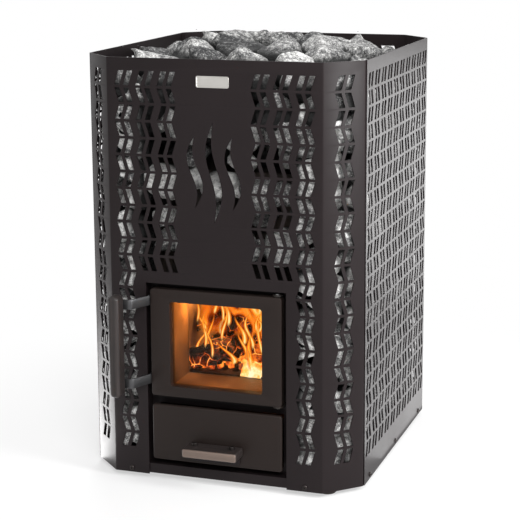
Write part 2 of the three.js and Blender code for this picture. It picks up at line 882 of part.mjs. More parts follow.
// Door on its hinge
function addHinge() {
  const lugPlan = [
    [pinX - lugHalf, frameFront - seat],
    [pinX - lugHalf, pinY],
    [pinX - lugHalf / 2, pinY - lugNose],
    [pinX + lugHalf / 2, pinY - lugNose],
    [pinX + lugHalf, pinY],
    [pinX + lugHalf, frameFront - seat],
  ];
  const lugs = [
    ["upper", doorTop + seat, 1],
    ["lower", doorBottom - seat - lugThick, -1],
  ];
  for (const [name, bottom, up] of lugs) {
    const range = [bottom, bottom + lugThick];
    const hole = rod(pinRadius + pinPlay, [bottom - overcut, bottom + lugThick + overcut]);
    add(stove, `hinge_lug_${name}`, cut(upright(lugPlan, range), hole.translate(pinX, pinY, 0)), darkSteel);
    const pin = turned([
      [0, -lugThick - seat - pinDepth],
      [pinRadius, -lugThick - seat - pinDepth],
      [pinRadius, seat],
      [pinHeadRadius, seat],
      [pinHeadRadius, seat + pinHeadHeight],
      [0, seat + pinHeadHeight],
    ]);
    const mesh = add(stove, `hinge_pin_${name}`, pin, greySteel);
    mesh.position.set(pinX, pinY, up > 0 ? bottom + lugThick : bottom);
    mesh.rotation.x = up > 0 ? 0 : Math.PI;
  }
}

function facePlate(halfWidth, [z0, z1], thick, hole) {
  const shape = roundedRectangle([-halfWidth, halfWidth], [z0, z1], faceRadius);
  if (hole) {
    shape.holes.push(hole);
  }
  return through(shape, [facePlane, facePlane + thick], faceBevel);
}

function ring([x, z], [holeX, holeZ], y) {
  const hollow = block(holeX, [y[0] - overcut, y[1] + overcut], holeZ);
  return cut(block(x, y, z), hollow);
}

function grown([low, high], by) {
  return [low - by, high + by];
}

function addDoor() {
  const windowX = [-windowWidth / 2, windowWidth / 2];
  const windowZ = [windowBottom, windowTop];
  const hole = addRoundedRectangle(new THREE.Path(), windowX, windowZ, windowRadius);
  const slab = facePlate(doorWidth / 2, [doorBottom, doorTop], doorThick, hole);
  const rebateX = grown(windowX, glassLap + seat);
  const rebateZ = grown(windowZ, glassLap + seat);
  const rebate = block(rebateX, [doorBack - rebateDepth, doorBack + overcut], rebateZ);
  const pinHole = pinRadius + pinPlay;
  const pinHoles = [
    rod(pinHole, [doorTop - pinDepth - overcut / 2, doorTop + overcut]),
    rod(pinHole, [doorBottom - overcut, doorBottom + pinDepth + overcut / 2]),
  ].map((tool) => tool.translate(pinX, pinY, 0));
  add(stove, "door_frame", cut(slab, rebate, ...pinHoles), blackPaint);

  const glassFront = doorBack - rebateDepth + seat;
  const glassBack = glassFront + glassThick;
  const glass = block(grown(windowX, glassLap), [glassFront, glassBack], grown(windowZ, glassLap));
  add(stove, "door_glass", glass, clearGlass);
  const retainer = ring(
    [grown(windowX, glassLap), grown(windowZ, glassLap)],
    [grown(windowX, retainerLap), grown(windowZ, retainerLap)],
    [glassBack + seat, glassBack + seat + retainerThick],
  );
  add(stove, "glass_retainer", retainer, darkSteel);
  const seal = ring(
    [grown(rebateX, sealInset + sealWidth), grown(rebateZ, sealInset + sealWidth)],
    [grown(rebateX, sealInset), grown(rebateZ, sealInset)],
    [doorBack + seat, frameFront - seat],
  );
  add(stove, "door_seal", seal, ropeWhite);
}

function addDoorHandle() {
  const barX = -doorWidth / 2 - seat - barThick / 2;
  const bend = facePlane - barThick / 2;
  const tabY = bend - barReach;
  const line = [
    [barX, bend + barFoot],
    [barX, bend],
    [barX - barRise, tabY],
    [barX - barRise - barTab, tabY],
  ];
  const strip = bentStrip(line, barThick);
  for (const [name, bottom] of [["lower", barBottom], ["upper", barBottom + barSpacing]]) {
    add(stove, `handle_bar_${name}`, upright(strip, [bottom, bottom + barHeight]), greySteel);
  }
  const gripX = barX - barRise - gripOverhang;
  const gripBack = tabY - barThick / 2 - seat;
  const section = roundedRectangle(
    [gripX - gripWidth, gripX],
    [gripBack - gripDepth, gripBack],
    gripRadius,
  );
  const grip = new THREE.ExtrudeGeometry(section, {
    depth: gripLength - 2 * gripBevel,
    bevelThickness: gripBevel,
    bevelSize: gripBevel,
    bevelOffset: -gripBevel,
    bevelSegments: 1,
    curveSegments: arcSteps,
  });
  add(stove, "handle_grip", grip, darkWood).position.z = gripBottom + gripBevel;
}

// Ash drawer
function addDrawer() {
  const front = facePlate(drawerWidth / 2, [drawerBottom, drawerTop], drawerThick);
  add(stove, "drawer_front", front, blackPaint);
  const trayFront = facePlane + drawerThick + seat;
  const trayBottom = ductBottom + seat;
  const half = trayWidth / 2;
  const trayBack = trayFront + trayLength;
  const body = block([-half, half], [trayFront, trayBack], [trayBottom, trayBottom + trayHeight]);
  const hollow = block(
    [trayWall - half, half - trayWall],
    [trayFront + trayWall, trayBack - trayWall],
    [trayBottom + trayWall, trayBottom + trayHeight + overcut],
  );
  add(stove, "ash_tray", cut(body, hollow), darkSteel);
}

function addDrawerHandle() {
  const root = facePlane - seat;
  const gripBottomZ = drawerGripTop - drawerGripThick;
  const boltY = root - boltSet;
  const boltHoles = [-1, 1].map((side) => {
    const hole = rod(boltRadius + boltPlay, [gripBottomZ - angleDrop - overcut, drawerGripTop + overcut]);
    return hole.translate(side * boltSpacing / 2, boltY, 0);
  });
  const angleTop = gripBottomZ - seat;
  const angleX = [-angleWidth / 2, angleWidth / 2];
  const leg = block(angleX, [root - angleThick, root], [angleTop - angleDrop, angleTop]);
  const shelf = block(angleX, [root - angleReach, root], [angleTop - angleThick, angleTop]);
  add(stove, "drawer_angle", cut(join(leg, shelf), ...boltHoles), greySteel);
  const gripX = [-drawerGripWidth / 2, drawerGripWidth / 2];
  const grip = block(gripX, [root - drawerGripDepth, root], [gripBottomZ, drawerGripTop]);
  add(stove, "drawer_grip", cut(grip, ...boltHoles), darkWood);
  const boltEnd = angleTop - angleThick - boltTail;
  const bolt = turned([
    [0, boltEnd],
    [boltRadius, boltEnd],
    [boltRadius, drawerGripTop + seat],
    [boltHeadRadius, drawerGripTop + seat],
    [boltHeadRadius, drawerGripTop + seat + boltHeadHeight],
    [0, drawerGripTop + seat + boltHeadHeight],
  ]);
  for (const [name, side] of [["left", -1], ["right", 1]]) {
    add(stove, `drawer_bolt_${name}`, bolt, greySteel).position.set(side * boltSpacing / 2, boltY, 0);
  }
}

// Stones
function seededRandom(seed) {
  let state = seed;
  return () => {
    state = (state * randomFactor) % randomModulus;
    return state / randomModulus;
  };
}

const random = seededRandom(stoneSeed);

function shake(reach) {
  return (random() * 2 - 1) * reach;
}

// Kinds of rough angular stone, each as points spread evenly over a flattened ball and shaken
function stoneForms(count, radius, halfHeight) {
  const goldenTurn = Math.PI * (3 - Math.sqrt(5));
  return Array.from({ length: stoneKinds }, () => Array.from({ length: count }, (_, index) => {
    const rise = 1 - (2 * index + 1) / count;
    const around = radius * Math.sqrt(1 - rise * rise);
    const angle = goldenTurn * index;
    const point = new THREE.Vector3(around * Math.cos(angle), around * Math.sin(angle), halfHeight * rise);
    return point.add(new THREE.Vector3(shake(stoneUneven), shake(stoneUneven), shake(stoneUneven)));
  }));
}

const topForms = stoneForms(topPoints, topRadius, topHalfHeight);
const wallForms = stoneForms(wallPoints, wallRadius, wallHalfHeight);
const upward = new THREE.Vector3(0, 0, 1);

// A stone turned about the upright axis and drawn out along a root, so that nothing hangs over it
function stone(forms, root) {
  const kind = forms[Math.floor(random() * stoneKinds)];
  const turn = random() * 2 * Math.PI;
  const points = kind.map((point) => point.clone().applyAxisAngle(upward, turn));
  const form = new ConvexGeometry(points.flatMap((point) => [point, point.clone().add(root)]));
  form.computeBoundingBox();
  return form;
}

// A stone that lies against the casing: its outermost point is near the reach
function wallStone(outward, reach, along, height) {
  const form = stone(wallForms, outward.clone().multiplyScalar(-wallRoot));
  const depthIn = reach - random() * wallRecess - form.boundingBox.max.dot(outward);
  const place = outward.clone().multiplyScalar(depthIn);
  place.addScaledVector(upward.clone().cross(outward), along + shake(stoneJitter));
  return form.translate(place.x, place.y, height + shake(stoneJitter));
}

function spread(low, high, pitch) {
  const count = Math.max(Math.round((high - low) / pitch), 1);
  const step = (high - low) / count;
  return Array.from({ length: count }, (_, index) => low + (index + 0.5) * step);
}

// Places along a row, shifted against those of the rows beside it
function staggered(low, high, pitch, row) {
  const shift = row % 2 === 0 ? pitch / 4 : -pitch / 4;
  return spread(low, high, pitch).map((place) => place + shift);
}

const wallTop = casingTop - crownDrop;
const stoneLimit = upright(octagon(stoneGap), [baseTop, casingTop + stoneReach]);

function addTopHeap() {
  const bedBottom = wallTop + seat;
  const bed = upright(octagon(stoneGap), [bedBottom, bedBottom + crownBed]);
  const bounds = upright(octagon(stoneGap), [bedBottom, casingTop + stoneReach]);
  const boxSpans = [boxHalfWidth, boxHalfDepth].map((half) => [-half, half]);
  const middle = block(...boxSpans, [lidTop + 3 * seat, bedBottom + crownBed]);
  const halfX = width / 2 - stoneGap;
  const halfY = depth / 2 - stoneGap;
  const root = new THREE.Vector3(0, 0, -topRoot);
  const stones = [];
  spread(-halfY, halfY, topRowPitch).forEach((y, row) => {
    for (const x of staggered(-halfX, halfX, topPitch, row)) {
      const away = Math.min((x / halfX) ** 2 + (y / halfY) ** 2, 1);
      const peak = casingTop + topCrown - away * (topCrown + topEdgeDrop);
      const form = stone(topForms, root);
      const lift = peak - form.boundingBox.max.z;
      stones.push(form.translate(x + shake(stoneJitter), y + shake(stoneJitter), lift));
    }
  });
  add(stove, "stones_top", join(trim(join(bed, ...stones), bounds), middle), stoneGrey);
}

function addSideHeap(name, side) {
  const gapX = frameHalf + 3 * seat;
  const zRange = [boxBottom + seat, wallTop];
  const inside = block([gapX, width], [-depth, depth], zRange);
  const core = upright(octagon(wallCoreInset), zRange);
  const roomX = boxHalfWidth + 2 * seat;
  const roomY = boxHalfDepth + 2 * seat;
  const room = block([-roomX, roomX], [-roomY, roomY], [0, casingTop]);
  const outward = new THREE.Vector3(1, 0, 0);
  const half = depth / 2 - stoneGap;
  const stones = [];
  spread(...zRange, wallPitch).forEach((z, row) => {
    for (const y of staggered(-half, half, wallPitch, row)) {
      const reach = Math.min(width / 2, frontFlat / 2 + depth / 2 - Math.abs(y)) - stoneGap;
      stones.push(wallStone(outward, reach, y, z));
    }
  });
  const heap = trim(trim(join(core, ...stones), stoneLimit), inside);
  const solid = cut(heap, room);
  add(stove, `stones_${name}`, side > 0 ? solid : solid.rotateZ(Math.PI), stoneGrey);
}

function addWallHeap(name, side, zRange, tools) {
  const half = frameHalf + 2 * seat;
  const inner = boxHalfDepth + 2 * seat;
  const outer = depth / 2 - stoneGap;
  const core = block([-half, half], [inner, depth / 2 - wallCoreInset], zRange);
  const outward = new THREE.Vector3(0, 1, 0);
  const stones = [];
  spread(...zRange, wallPitch).forEach((z, row) => {
    for (const x of staggered(-half, half, wallPitch, row)) {
      stones.push(wallStone(outward, outer, x, z));
    }
  });
  const bounds = block([-half, half], [inner, outer], zRange);
  const heap = cut(trim(join(core, ...stones), bounds), ...tools);
  add(stove, `stones_${name}`, side > 0 ? heap : heap.rotateZ(Math.PI), stoneGrey);
}

function addStones() {
  addTopHeap();
  addSideHeap("right", 1);
  addSideHeap("left", -1);
  addWallHeap("front", -1, [frameTop + seat, wallTop], []);
  const flueWay = crossRod(flueFlange + seat, [boxHalfDepth - overcut, depth / 2], flueSides);
  addWallHeap("rear", 1, [boxBottom + seat, wallTop], [flueWay.translate(0, 0, flueHeight)]);
}

addCasing();
addBase();
addFeet();
addFirebox();
addFront();
addHearth();
addBricks();
addFlue();
addFire();
addHinge();
addDoor();
addDoorHandle();
addDrawer();
addDrawerHandle();
addStones();

export default stove;
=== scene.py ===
"""Looks of a wood-burning sauna heater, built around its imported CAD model.

An eight-sided casing of slotted sheet steel holds stones around a firebox, and a glazed door and
an ash drawer close its front. Metres, +Z up, the door faces -Y.
"""

from __future__ import annotations

import json
import logging
import math
import random
from collections.abc import Callable, Iterator, Sequence
from contextlib import contextmanager
from dataclasses import dataclass, field
from enum import Enum
from typing import Any

import bpy
from bpy.types import Material, MeshPolygon, NodeSocket, NodeTree, Object
from mathutils import Euler, Matrix, Quaternion, Vector

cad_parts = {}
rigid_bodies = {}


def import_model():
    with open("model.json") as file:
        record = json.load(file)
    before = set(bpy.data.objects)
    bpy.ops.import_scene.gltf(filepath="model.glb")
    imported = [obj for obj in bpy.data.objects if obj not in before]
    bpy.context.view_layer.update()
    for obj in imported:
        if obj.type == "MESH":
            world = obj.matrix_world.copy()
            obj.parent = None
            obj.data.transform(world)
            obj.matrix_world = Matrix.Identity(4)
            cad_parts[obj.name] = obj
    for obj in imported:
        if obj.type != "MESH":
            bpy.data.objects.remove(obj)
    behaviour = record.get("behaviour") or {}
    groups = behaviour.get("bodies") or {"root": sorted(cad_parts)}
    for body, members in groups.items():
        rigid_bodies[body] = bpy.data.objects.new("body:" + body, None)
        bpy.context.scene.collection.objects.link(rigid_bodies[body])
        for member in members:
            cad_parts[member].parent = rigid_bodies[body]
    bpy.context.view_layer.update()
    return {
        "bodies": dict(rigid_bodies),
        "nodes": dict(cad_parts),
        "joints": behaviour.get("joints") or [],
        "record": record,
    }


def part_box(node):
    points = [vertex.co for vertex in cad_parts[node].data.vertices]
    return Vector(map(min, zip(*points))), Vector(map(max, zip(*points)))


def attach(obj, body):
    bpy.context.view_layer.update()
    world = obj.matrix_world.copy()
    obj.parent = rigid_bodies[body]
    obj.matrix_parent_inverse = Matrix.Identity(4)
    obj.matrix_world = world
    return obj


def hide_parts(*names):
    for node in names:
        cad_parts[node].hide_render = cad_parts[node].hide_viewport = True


LOG = logging.getLogger("sauna_heater")
MM = 0.001
MERGE_DISTANCE = 0.01 * MM

Point = tuple[float, float]
Loop = list[Point]
Colour = tuple[float, float, float]


class Body(str, Enum):
    """The bodies of the frame that pieces ride on."""

    STOVE = "stove"
    DOOR = "door"
    DRAWER = "ash_drawer"


class Slot(str, Enum):
    """The record's material slots."""

    PAINT = "black_paint"
    DARK_STEEL = "dark_steel"
    GREY_STEEL = "grey_steel"
    PLATE = "plate_metal"
    STONE = "stone"
    WOOD = "dark_wood"
    FIRE_WOOD = "fire_wood"
    EMBER = "ember"


class Plane(Enum):
    """The plane that a flat piece is drawn in. The rows turn the drawing into the frame."""

    FRONT = ((1, 0, 0), (0, 0, -1), (0, 1, 0))
    PLAN = ((1, 0, 0), (0, 1, 0), (0, 0, 1))
    SIDE = ((0, 0, 1), (1, 0, 0), (0, 1, 0))

    @property
    def turn(self) -> Matrix:
        """The turn as a matrix."""
        return Matrix(self.value).to_4x4()

    @property
    def normal(self) -> Vector:
        """The axis that the thickness runs along, without its sign."""
        thick = self.turn.to_3x3() @ Vector((0, 0, 1))
        return Vector(map(abs, thick))


class Bench:
    """Blender's modelling tools, used as by hand."""

    @staticmethod
    def pick(*pieces: Object) -> None:
        """Selects only these pieces and makes the first the active one."""
        bpy.ops.object.select_all(action="DESELECT")
        for piece in pieces:
            piece.select_set(True)
        bpy.context.view_layer.objects.active = pieces[0]

    @staticmethod
    @contextmanager
    def editing(piece: Object, mode: str = "VERT") -> Iterator[None]:
        """Opens one piece in edit mode, with what was selected in its mesh.

        Args:
            piece: The piece to open.
            mode: The kind of selection, VERT, EDGE or FACE.
        """
        Bench.pick(piece)
        bpy.ops.object.mode_set(mode="EDIT")
        bpy.ops.mesh.select_mode(type=mode)
        yield
        bpy.ops.object.mode_set(mode="OBJECT")

    @staticmethod
    def select_points(piece: Object, test: Callable[[Vector], bool]) -> None:
        """Selects the vertices of a mesh that pass a test of their place."""
        Bench.select_faces(piece, lambda face: False)
        for vertex in piece.data.vertices:
            vertex.select = test(vertex.co)

    @staticmethod
    def select_faces(piece: Object, test: Callable[[MeshPolygon], bool]) -> None:
        """Selects the faces of a mesh that pass a test."""
        mesh = piece.data
        mesh.vertices.foreach_set("select", [False] * len(mesh.vertices))
        mesh.edges.foreach_set("select", [False] * len(mesh.edges))
        for polygon in mesh.polygons:
            polygon.select = test(polygon)

    @staticmethod
    def settle(piece: Object, place: Matrix | None = None) -> Object:
        """Puts a place into a piece's mesh and leaves its object at the origin.

        Args:
            piece: The piece to settle.
            place: Where it goes, on top of the place that its object has.

        Returns:
            The same piece.
        """
        Bench.pick(piece)
        if place is not None:
            piece.matrix_world = place @ piece.matrix_world
        bpy.ops.object.transform_apply(location=True, rotation=True, scale=True)
        return piece

    @staticmethod
    def clean(piece: Object, merge: float = MERGE_DISTANCE) -> Object:
        """Merges doubled points of a mesh and turns its faces outwards."""
        with Bench.editing(piece):
            bpy.ops.mesh.select_all(action="SELECT")
            bpy.ops.mesh.remove_doubles(threshold=merge)
            bpy.ops.mesh.normals_make_consistent(inside=False)
        return piece

    @staticmethod
    def modify(piece: Object, kind: str, **settings: Any) -> Object:
        """Adds a modifier with its settings and applies it."""
        Bench.pick(piece)
        modifier = piece.modifiers.new(kind.lower(), kind)
        for name, value in settings.items():
            setattr(modifier, name, value)
        bpy.ops.object.modifier_apply(modifier=modifier.name)
        return piece

    @staticmethod
    def smooth(piece: Object, angle: float = 35.0) -> Object:
        """Shades a piece smooth, apart from edges sharper than an angle in degrees."""
        Bench.pick(piece)
        bpy.ops.object.shade_smooth_by_angle(angle=math.radians(angle))
        return piece

    @staticmethod
    def round_edges(piece: Object, width: float, segments: int = 2) -> Object:
        """Rounds the sharp edges of a piece.

        Args:
            piece: The piece, whose flat faces are joined first.
            width: How far the rounding reaches from an edge.
            segments: The number of steps in it.

        Returns:
            The same piece, shaded smooth over its roundings.
        """
        with Bench.editing(piece):
            bpy.ops.mesh.select_all(action="SELECT")
            bpy.ops.mesh.dissolve_limited(angle_limit=math.radians(0.5))
        limit = math.radians(30)
        Bench.modify(piece, "BEVEL", width=width, segments=segments, limit_method="ANGLE", angle_limit=limit)
        return Bench.smooth(piece)

    @staticmethod
    def join(name: str, pieces: Sequence[Object]) -> Object:
        """Joins pieces into the first one and renames it."""
        Bench.pick(*pieces)
        bpy.ops.object.join()
        pieces[0].name = name
        return pieces[0]

    @staticmethod
    def copy(piece: Object, name: str, place: Matrix) -> Object:
        """A copy of a piece with a mesh of its own, moved to a place."""
        twin = bpy.data.objects.new(name, piece.data.copy())
        bpy.context.scene.collection.objects.link(twin)
        twin.data.transform(place)
        return twin

    @staticmethod
    def remove(*pieces: Object) -> None:
        """Deletes pieces that served as patterns or cutters."""
        for piece in pieces:
            bpy.data.objects.remove(piece)

    @staticmethod
    def block(name: str, low: Vector, high: Vector) -> Object:
        """A cube drawn out to two corners."""
        bpy.ops.mesh.primitive_cube_add(size=1, location=(low + high) / 2)
        piece = bpy.context.object
        piece.name = name
        piece.scale = high - low
        return Bench.settle(piece)

    @staticmethod
    def flat(name: str, loops: Sequence[Loop], span: Point, plane: Plane = Plane.FRONT) -> Object:
        """Cuts a flat piece out of sheet.

        Args:
            name: The piece's name.
            loops: Its edge and then its holes, each a closed line.
            span: Where its thickness starts and ends.
            plane: The plane of the drawing.

        Returns:
            The piece as a closed mesh.
        """
        curve = bpy.data.curves.new(name, "CURVE")
        curve.dimensions = "2D"
        curve.fill_mode = "BOTH"
        curve.extrude = (span[1] - span[0]) / 2
        for loop in loops:
            spline = curve.splines.new("POLY")
            spline.points.add(len(loop) - 1)
            for point, (across, along) in zip(spline.points, loop):
                point.co = (across, along, 0, 1)
            spline.use_cyclic_u = True
        piece = bpy.data.objects.new(name, curve)
        bpy.context.scene.collection.objects.link(piece)
        Bench.pick(piece)
        bpy.ops.object.convert(target="MESH")
        shift = Matrix.Translation(plane.normal * (span[0] + span[1]) / 2)
        Bench.settle(piece, shift @ plane.turn)
        return Bench.clean(piece)

    @staticmethod
    def turned(name: str, profile: Sequence[Point], steps: int = 32) -> Object:
        """Turns a profile of radius and height pairs about the z axis.

        Args:
            name: The piece's name.
            profile: The pairs, which start and end on the axis or close.
            steps: The number of sides.

        Returns:
            The turned piece.
        """
        curve = bpy.data.curves.new(name, "CURVE")
        curve.dimensions = "3D"
        spline = curve.splines.new("POLY")
        spline.points.add(len(profile) - 1)
        for point, (radius, height) in zip(spline.points, profile):
            point.co = (radius, 0, height, 1)
        piece = bpy.data.objects.new(name, curve)
        bpy.context.scene.collection.objects.link(piece)
        Bench.pick(piece)
        bpy.ops.object.convert(target="MESH")
        Bench.modify(piece, "SCREW", steps=steps, render_steps=steps)
        return Bench.smooth(Bench.clean(piece))

    @staticmethod
    def drill(piece: Object, cutter: Object) -> Object:
        """Cuts one piece out of another and deletes the cutter."""
        Bench.modify(piece, "BOOLEAN", operation="DIFFERENCE", solver="EXACT", object=cutter)
        Bench.remove(cutter)
        return piece


class Draw:
    """Closed lines for flat pieces."""

    @staticmethod
    def rectangle(low: Point, high: Point, radius: float = 0.0, steps: int = 5) -> Loop:
        """A rectangle between two corners, with rounded corners if a radius is given."""
        if radius == 0.0:
            return [low, (high[0], low[1]), high, (low[0], high[1])]
        centres = [
            (high[0] - radius, low[1] + radius, -90),
            (high[0] - radius, high[1] - radius, 0),
            (low[0] + radius, high[1] - radius, 90),
            (low[0] + radius, low[1] + radius, 180),
        ]
        loop = []
        for across, along, start in centres:
            for step in range(steps + 1):
                angle = math.radians(start + 90 * step / steps)
                loop.append((across + radius * math.cos(angle), along + radius * math.sin(angle)))
        return loop

    @staticmethod
    def circle(centre: Point, radius: float, steps: int = 48) -> Loop:
        """A circle as a closed line."""
        turns = [2 * math.pi * step / steps for step in range(steps)]
        return [(centre[0] + radius * math.cos(turn), centre[1] + radius * math.sin(turn)) for turn in turns]

    @staticmethod
    def strip(line: Sequence[Point], thickness: float, radius: float, steps: int = 5) -> Loop:
        """The edge of a bar of even thickness that follows a line with rounded bends.

        Args:
            line: The middle line's corners.
            thickness: The bar's thickness.
            radius: The middle line's radius at its bends.
            steps: The number of steps in each bend.

        Returns:
            The bar's edge.
        """
        corners = [Vector(point) for point in line]
        spine = [corners[0]]
        for before, corner, after in zip(corners, corners[1:], corners[2:]):
            arrive = (corner - before).normalized()
            leave = (after - corner).normalized()
            turn = arrive.angle_signed(leave)
            reach = radius * math.tan(abs(turn) / 2)
            start = corner - arrive * reach
            side = Vector((-arrive.y, arrive.x)) * math.copysign(radius, -turn)
            for step in range(steps + 1):
                swing = Matrix.Rotation(-turn * step / steps, 2)
                spine.append(start + side - swing @ side)
        spine.append(corners[-1])
        left, right = [], []
        for index, point in enumerate(spine):
            along = spine[min(index + 1, len(spine) - 1)] - spine[max(index - 1, 0)]
            offset = Vector((-along.y, along.x)).normalized() * thickness / 2
            left.append(tuple(point + offset))
            right.append(tuple(point - offset))
        return left + right[::-1]


class Wire:
    """A shader value that takes part in Python expressions."""

    def __init__(self, graph: Graph, socket: NodeSocket) -> None:
        """Wraps an output socket of a graph's node."""
        self.graph = graph
        self.socket = socket

    def _math(self, operation: str, first: Wire | float, second: Wire | float) -> Wire:
        """Adds a Math node for one operation."""
        return self.graph.node("ShaderNodeMath", {"operation": operation}, {0: first, 1: second})

    def __add__(self, other: Wire | float) -> Wire:
        """This value plus another."""
        return self._math("ADD", self, other)

    __radd__ = __add__

    def __sub__(self, other: Wire | float) -> Wire:
        """This value less another."""
        return self._math("SUBTRACT", self, other)

    def __rsub__(self, other: float) -> Wire:
        """A number less this value."""
        return self._math("SUBTRACT", other, self)

    def __mul__(self, other: Wire | float) -> Wire:
        """This value times another."""
        return self._math("MULTIPLY", self, other)

    __rmul__ = __mul__

    def __pow__(self, power: float) -> Wire:
        """This value to a power."""
        return self._math("POWER", self, power)

    def __abs__(self) -> Wire:
        """This value without its sign."""
        return self._math("ABSOLUTE", self, 0.0)

    def between(self, low: float, high: float) -> Wire:
        """How far this value has come from low to high, smoothly from 0 to 1."""
        return self.graph.node(
            "ShaderNodeMapRange",
            {"interpolation_type": "SMOOTHSTEP"},
            {"Value": self, "From Min": low, "From Max": high},
        )


class Graph:
    """The node tree of a material or a world."""

    def __init__(self, tree: NodeTree) -> None:
        """Starts an empty tree."""
        self.tree = tree
        tree.nodes.clear()

    def node(
        self,
        kind: str,
        settings: dict[str, Any] | None = None,
        sockets: dict[str | int, Any] | None = None,
        output: str | int = 0,
    ) -> Wire:
        """Adds a node.

        Args:
            kind: The node's type.
            settings: Its own settings, set first. The key stops gives a ramp its places and colours.
            sockets: Values or wires for its inputs.
            output: The output to use.

        Returns:
            The chosen output.
        """
        made = self.tree.nodes.new(kind)
        for name, value in (settings or {}).items():
            if name == "stops":
                self._set_stops(made.color_ramp.elements, value)
            else:
                setattr(made, name, value)
        for name, value in (sockets or {}).items():
            if isinstance(value, Wire):
                self.tree.links.new(value.socket, made.inputs[name])
            else:
                made.inputs[name].default_value = value
        return Wire(self, made.outputs[output]) if made.outputs else Wire(self, made.inputs[0])

    @staticmethod
    def _set_stops(elements: Any, stops: Sequence[tuple[float, Colour]]) -> None:
        """Gives a colour ramp its stops."""
        while len(elements) < len(stops):
            elements.new(1.0)
        for element, (place, colour) in zip(elements, stops):
            element.position = place
            element.color = (*colour, 1)

    def objects(self, scale: Colour = (1.0, 1.0, 1.0)) -> Wire:
        """Object coordinates, stretched along the axes."""
        place = self.node("ShaderNodeTexCoord", output="Object")
        return self.node("ShaderNodeMapping", None, {"Vector": place, "Scale": scale})

    def noise(self, where: Wire, scale: float, detail: float = 3.0, roughness: float = 0.55) -> Wire:
        """A cloudy pattern from 0 to 1."""
        sockets = {"Vector": where, "Scale": scale, "Detail": detail, "Roughness": roughness}
        return self.node("ShaderNodeTexNoise", None, sockets)

    def swirl(self, where: Wire, scale: float, reach: float) -> Wire:
        """A place pushed about by a cloudy pattern."""
        sockets = {"Vector": where, "Scale": scale, "Detail": 1.0}
        push = self.node("ShaderNodeTexNoise", None, sockets, "Color")
        return self.node("ShaderNodeVectorMath", {"operation": "MULTIPLY_ADD"}, {0: push, 1: [reach] * 3, 2: where})

    def parts(self, vector: Wire) -> tuple[Wire, Wire, Wire]:
        """The three parts of a vector."""
        first = self.node("ShaderNodeSeparateXYZ", None, {0: vector})
        outputs = first.socket.node.outputs
        return first, Wire(self, outputs[1]), Wire(self, outputs[2])

    def cells(self, where: Wire, scale: float, feature: str = "F1") -> Wire:
        """Distances in a pattern of cells."""
        sockets = {"Vector": where, "Scale": scale}
        return self.node("ShaderNodeTexVoronoi", {"feature": feature}, sockets, "Distance")

    def ramp(self, value: Wire, stops: Sequence[tuple[float, Colour]]) -> Wire:
        """A colour picked from a ramp."""
        return self.node("ShaderNodeValToRGB", {"stops": stops}, {0: value})

    def mix(self, share: Wire | float, first: Wire | Colour, second: Wire | Colour) -> Wire:
        """A colour between two others."""
        colours = [value if isinstance(value, Wire) else (*value, 1) for value in (first, second)]
        return self.node("ShaderNodeMix", {"data_type": "RGBA"}, {0: share, 6: colours[0], 7: colours[1]}, 2)

    def bump(self, height: Wire, strength: float, distance: float) -> Wire:
        """A bumped normal from a height."""
        return self.node("ShaderNodeBump", None, {"Height": height, "Strength": strength, "Distance": distance})

    def surface(self, shader: Wire) -> None:
        """Shows a shader on the surface."""
        self.node("ShaderNodeOutputMaterial", None, {"Surface": shader})


class Finish:
    """A material of this stove."""

    name = "finish"

    def paint(self, graph: Graph) -> dict[str, Any]:
        """The inputs of the Principled shader for this finish."""
        raise NotImplementedError

    def make(self) -> Material:
        """Makes the material.

        Returns:
            The material, named for the finish.
        """
        material = bpy.data.materials.new(self.name)
        material.use_nodes = True
        graph = Graph(material.node_tree)
        inputs = self.paint(graph)
        graph.surface(graph.node("ShaderNodeBsdfPrincipled", None, inputs))
        return material


@dataclass(frozen=True)
class StovePaint(Finish):
    """Baked black stove paint with the fine texture of a sprayed coat."""

    name: str = "black_paint"
    deep: Colour = (0.0098, 0.0068, 0.0073)
    worn: Colour = (0.0155, 0.0114, 0.0120)
    gloss: float = 0.40
    specular: float = 0.14
    peel: float = 0.10

    def paint(self, graph: Graph) -> dict[str, Any]:
        """Cloudy black with an orange-peel bump."""
        where = graph.objects()
        cloud = graph.noise(where, 6.0, 4.0)
        speck = graph.noise(where, 420.0, 2.0)
        grain = graph.noise(where, 700.0, 2.0)
        colour = graph.mix(cloud * 0.7 + speck * 0.3, self.deep, self.worn)
        return {
            "Base Color": colour,
            "Roughness": cloud * 0.14 + speck * 0.06 + (self.gloss - 0.10),
            "Specular IOR Level": self.specular,
            "Normal": graph.bump(grain, self.peel, 0.4 * MM),
        }


@dataclass(frozen=True)
class SootySteel(Finish):
    """Plate steel browned by heat and dusted with soot."""

    name: str = "dark_steel"
    soot: Colour = (0.012, 0.010, 0.009)
    scale: Colour = (0.075, 0.052, 0.038)

    def paint(self, graph: Graph) -> dict[str, Any]:
        """Patches of soot over heat-browned plate."""
        where = graph.objects()
        patches = graph.noise(where, 13.0, 6.0, 0.65)
        grit = graph.noise(where, 260.0, 3.0)
        return {
            "Base Color": graph.mix(patches.between(0.35, 0.72), self.soot, self.scale),
            "Roughness": patches * 0.25 + 0.45,
            "Metallic": 0.35,
            "Normal": graph.bump(grit + patches * 2.0, 0.25, 0.5 * MM),
        }


@dataclass(frozen=True)
class BareSteel(Finish):
    """Plain steel with the fine scratches of handling."""

    name: str = "grey_steel"
    dark: Colour = (0.16, 0.158, 0.155)
    bright: Colour = (0.34, 0.335, 0.33)
    streaks: Colour = (40.0, 40.0, 900.0)

    def paint(self, graph: Graph) -> dict[str, Any]:
        """Streaked metal of uneven brightness."""
        streak = graph.noise(graph.objects(self.streaks), 1.0, 3.0)
        cloud = graph.noise(graph.objects(), 45.0, 3.0)
        return {
            "Base Color": graph.mix(streak * 0.5 + cloud * 0.5, self.dark, self.bright),
            "Roughness": streak * 0.22 + 0.28,
            "Metallic": 0.9,
            "Normal": graph.bump(streak, 0.10, 0.2 * MM),
        }


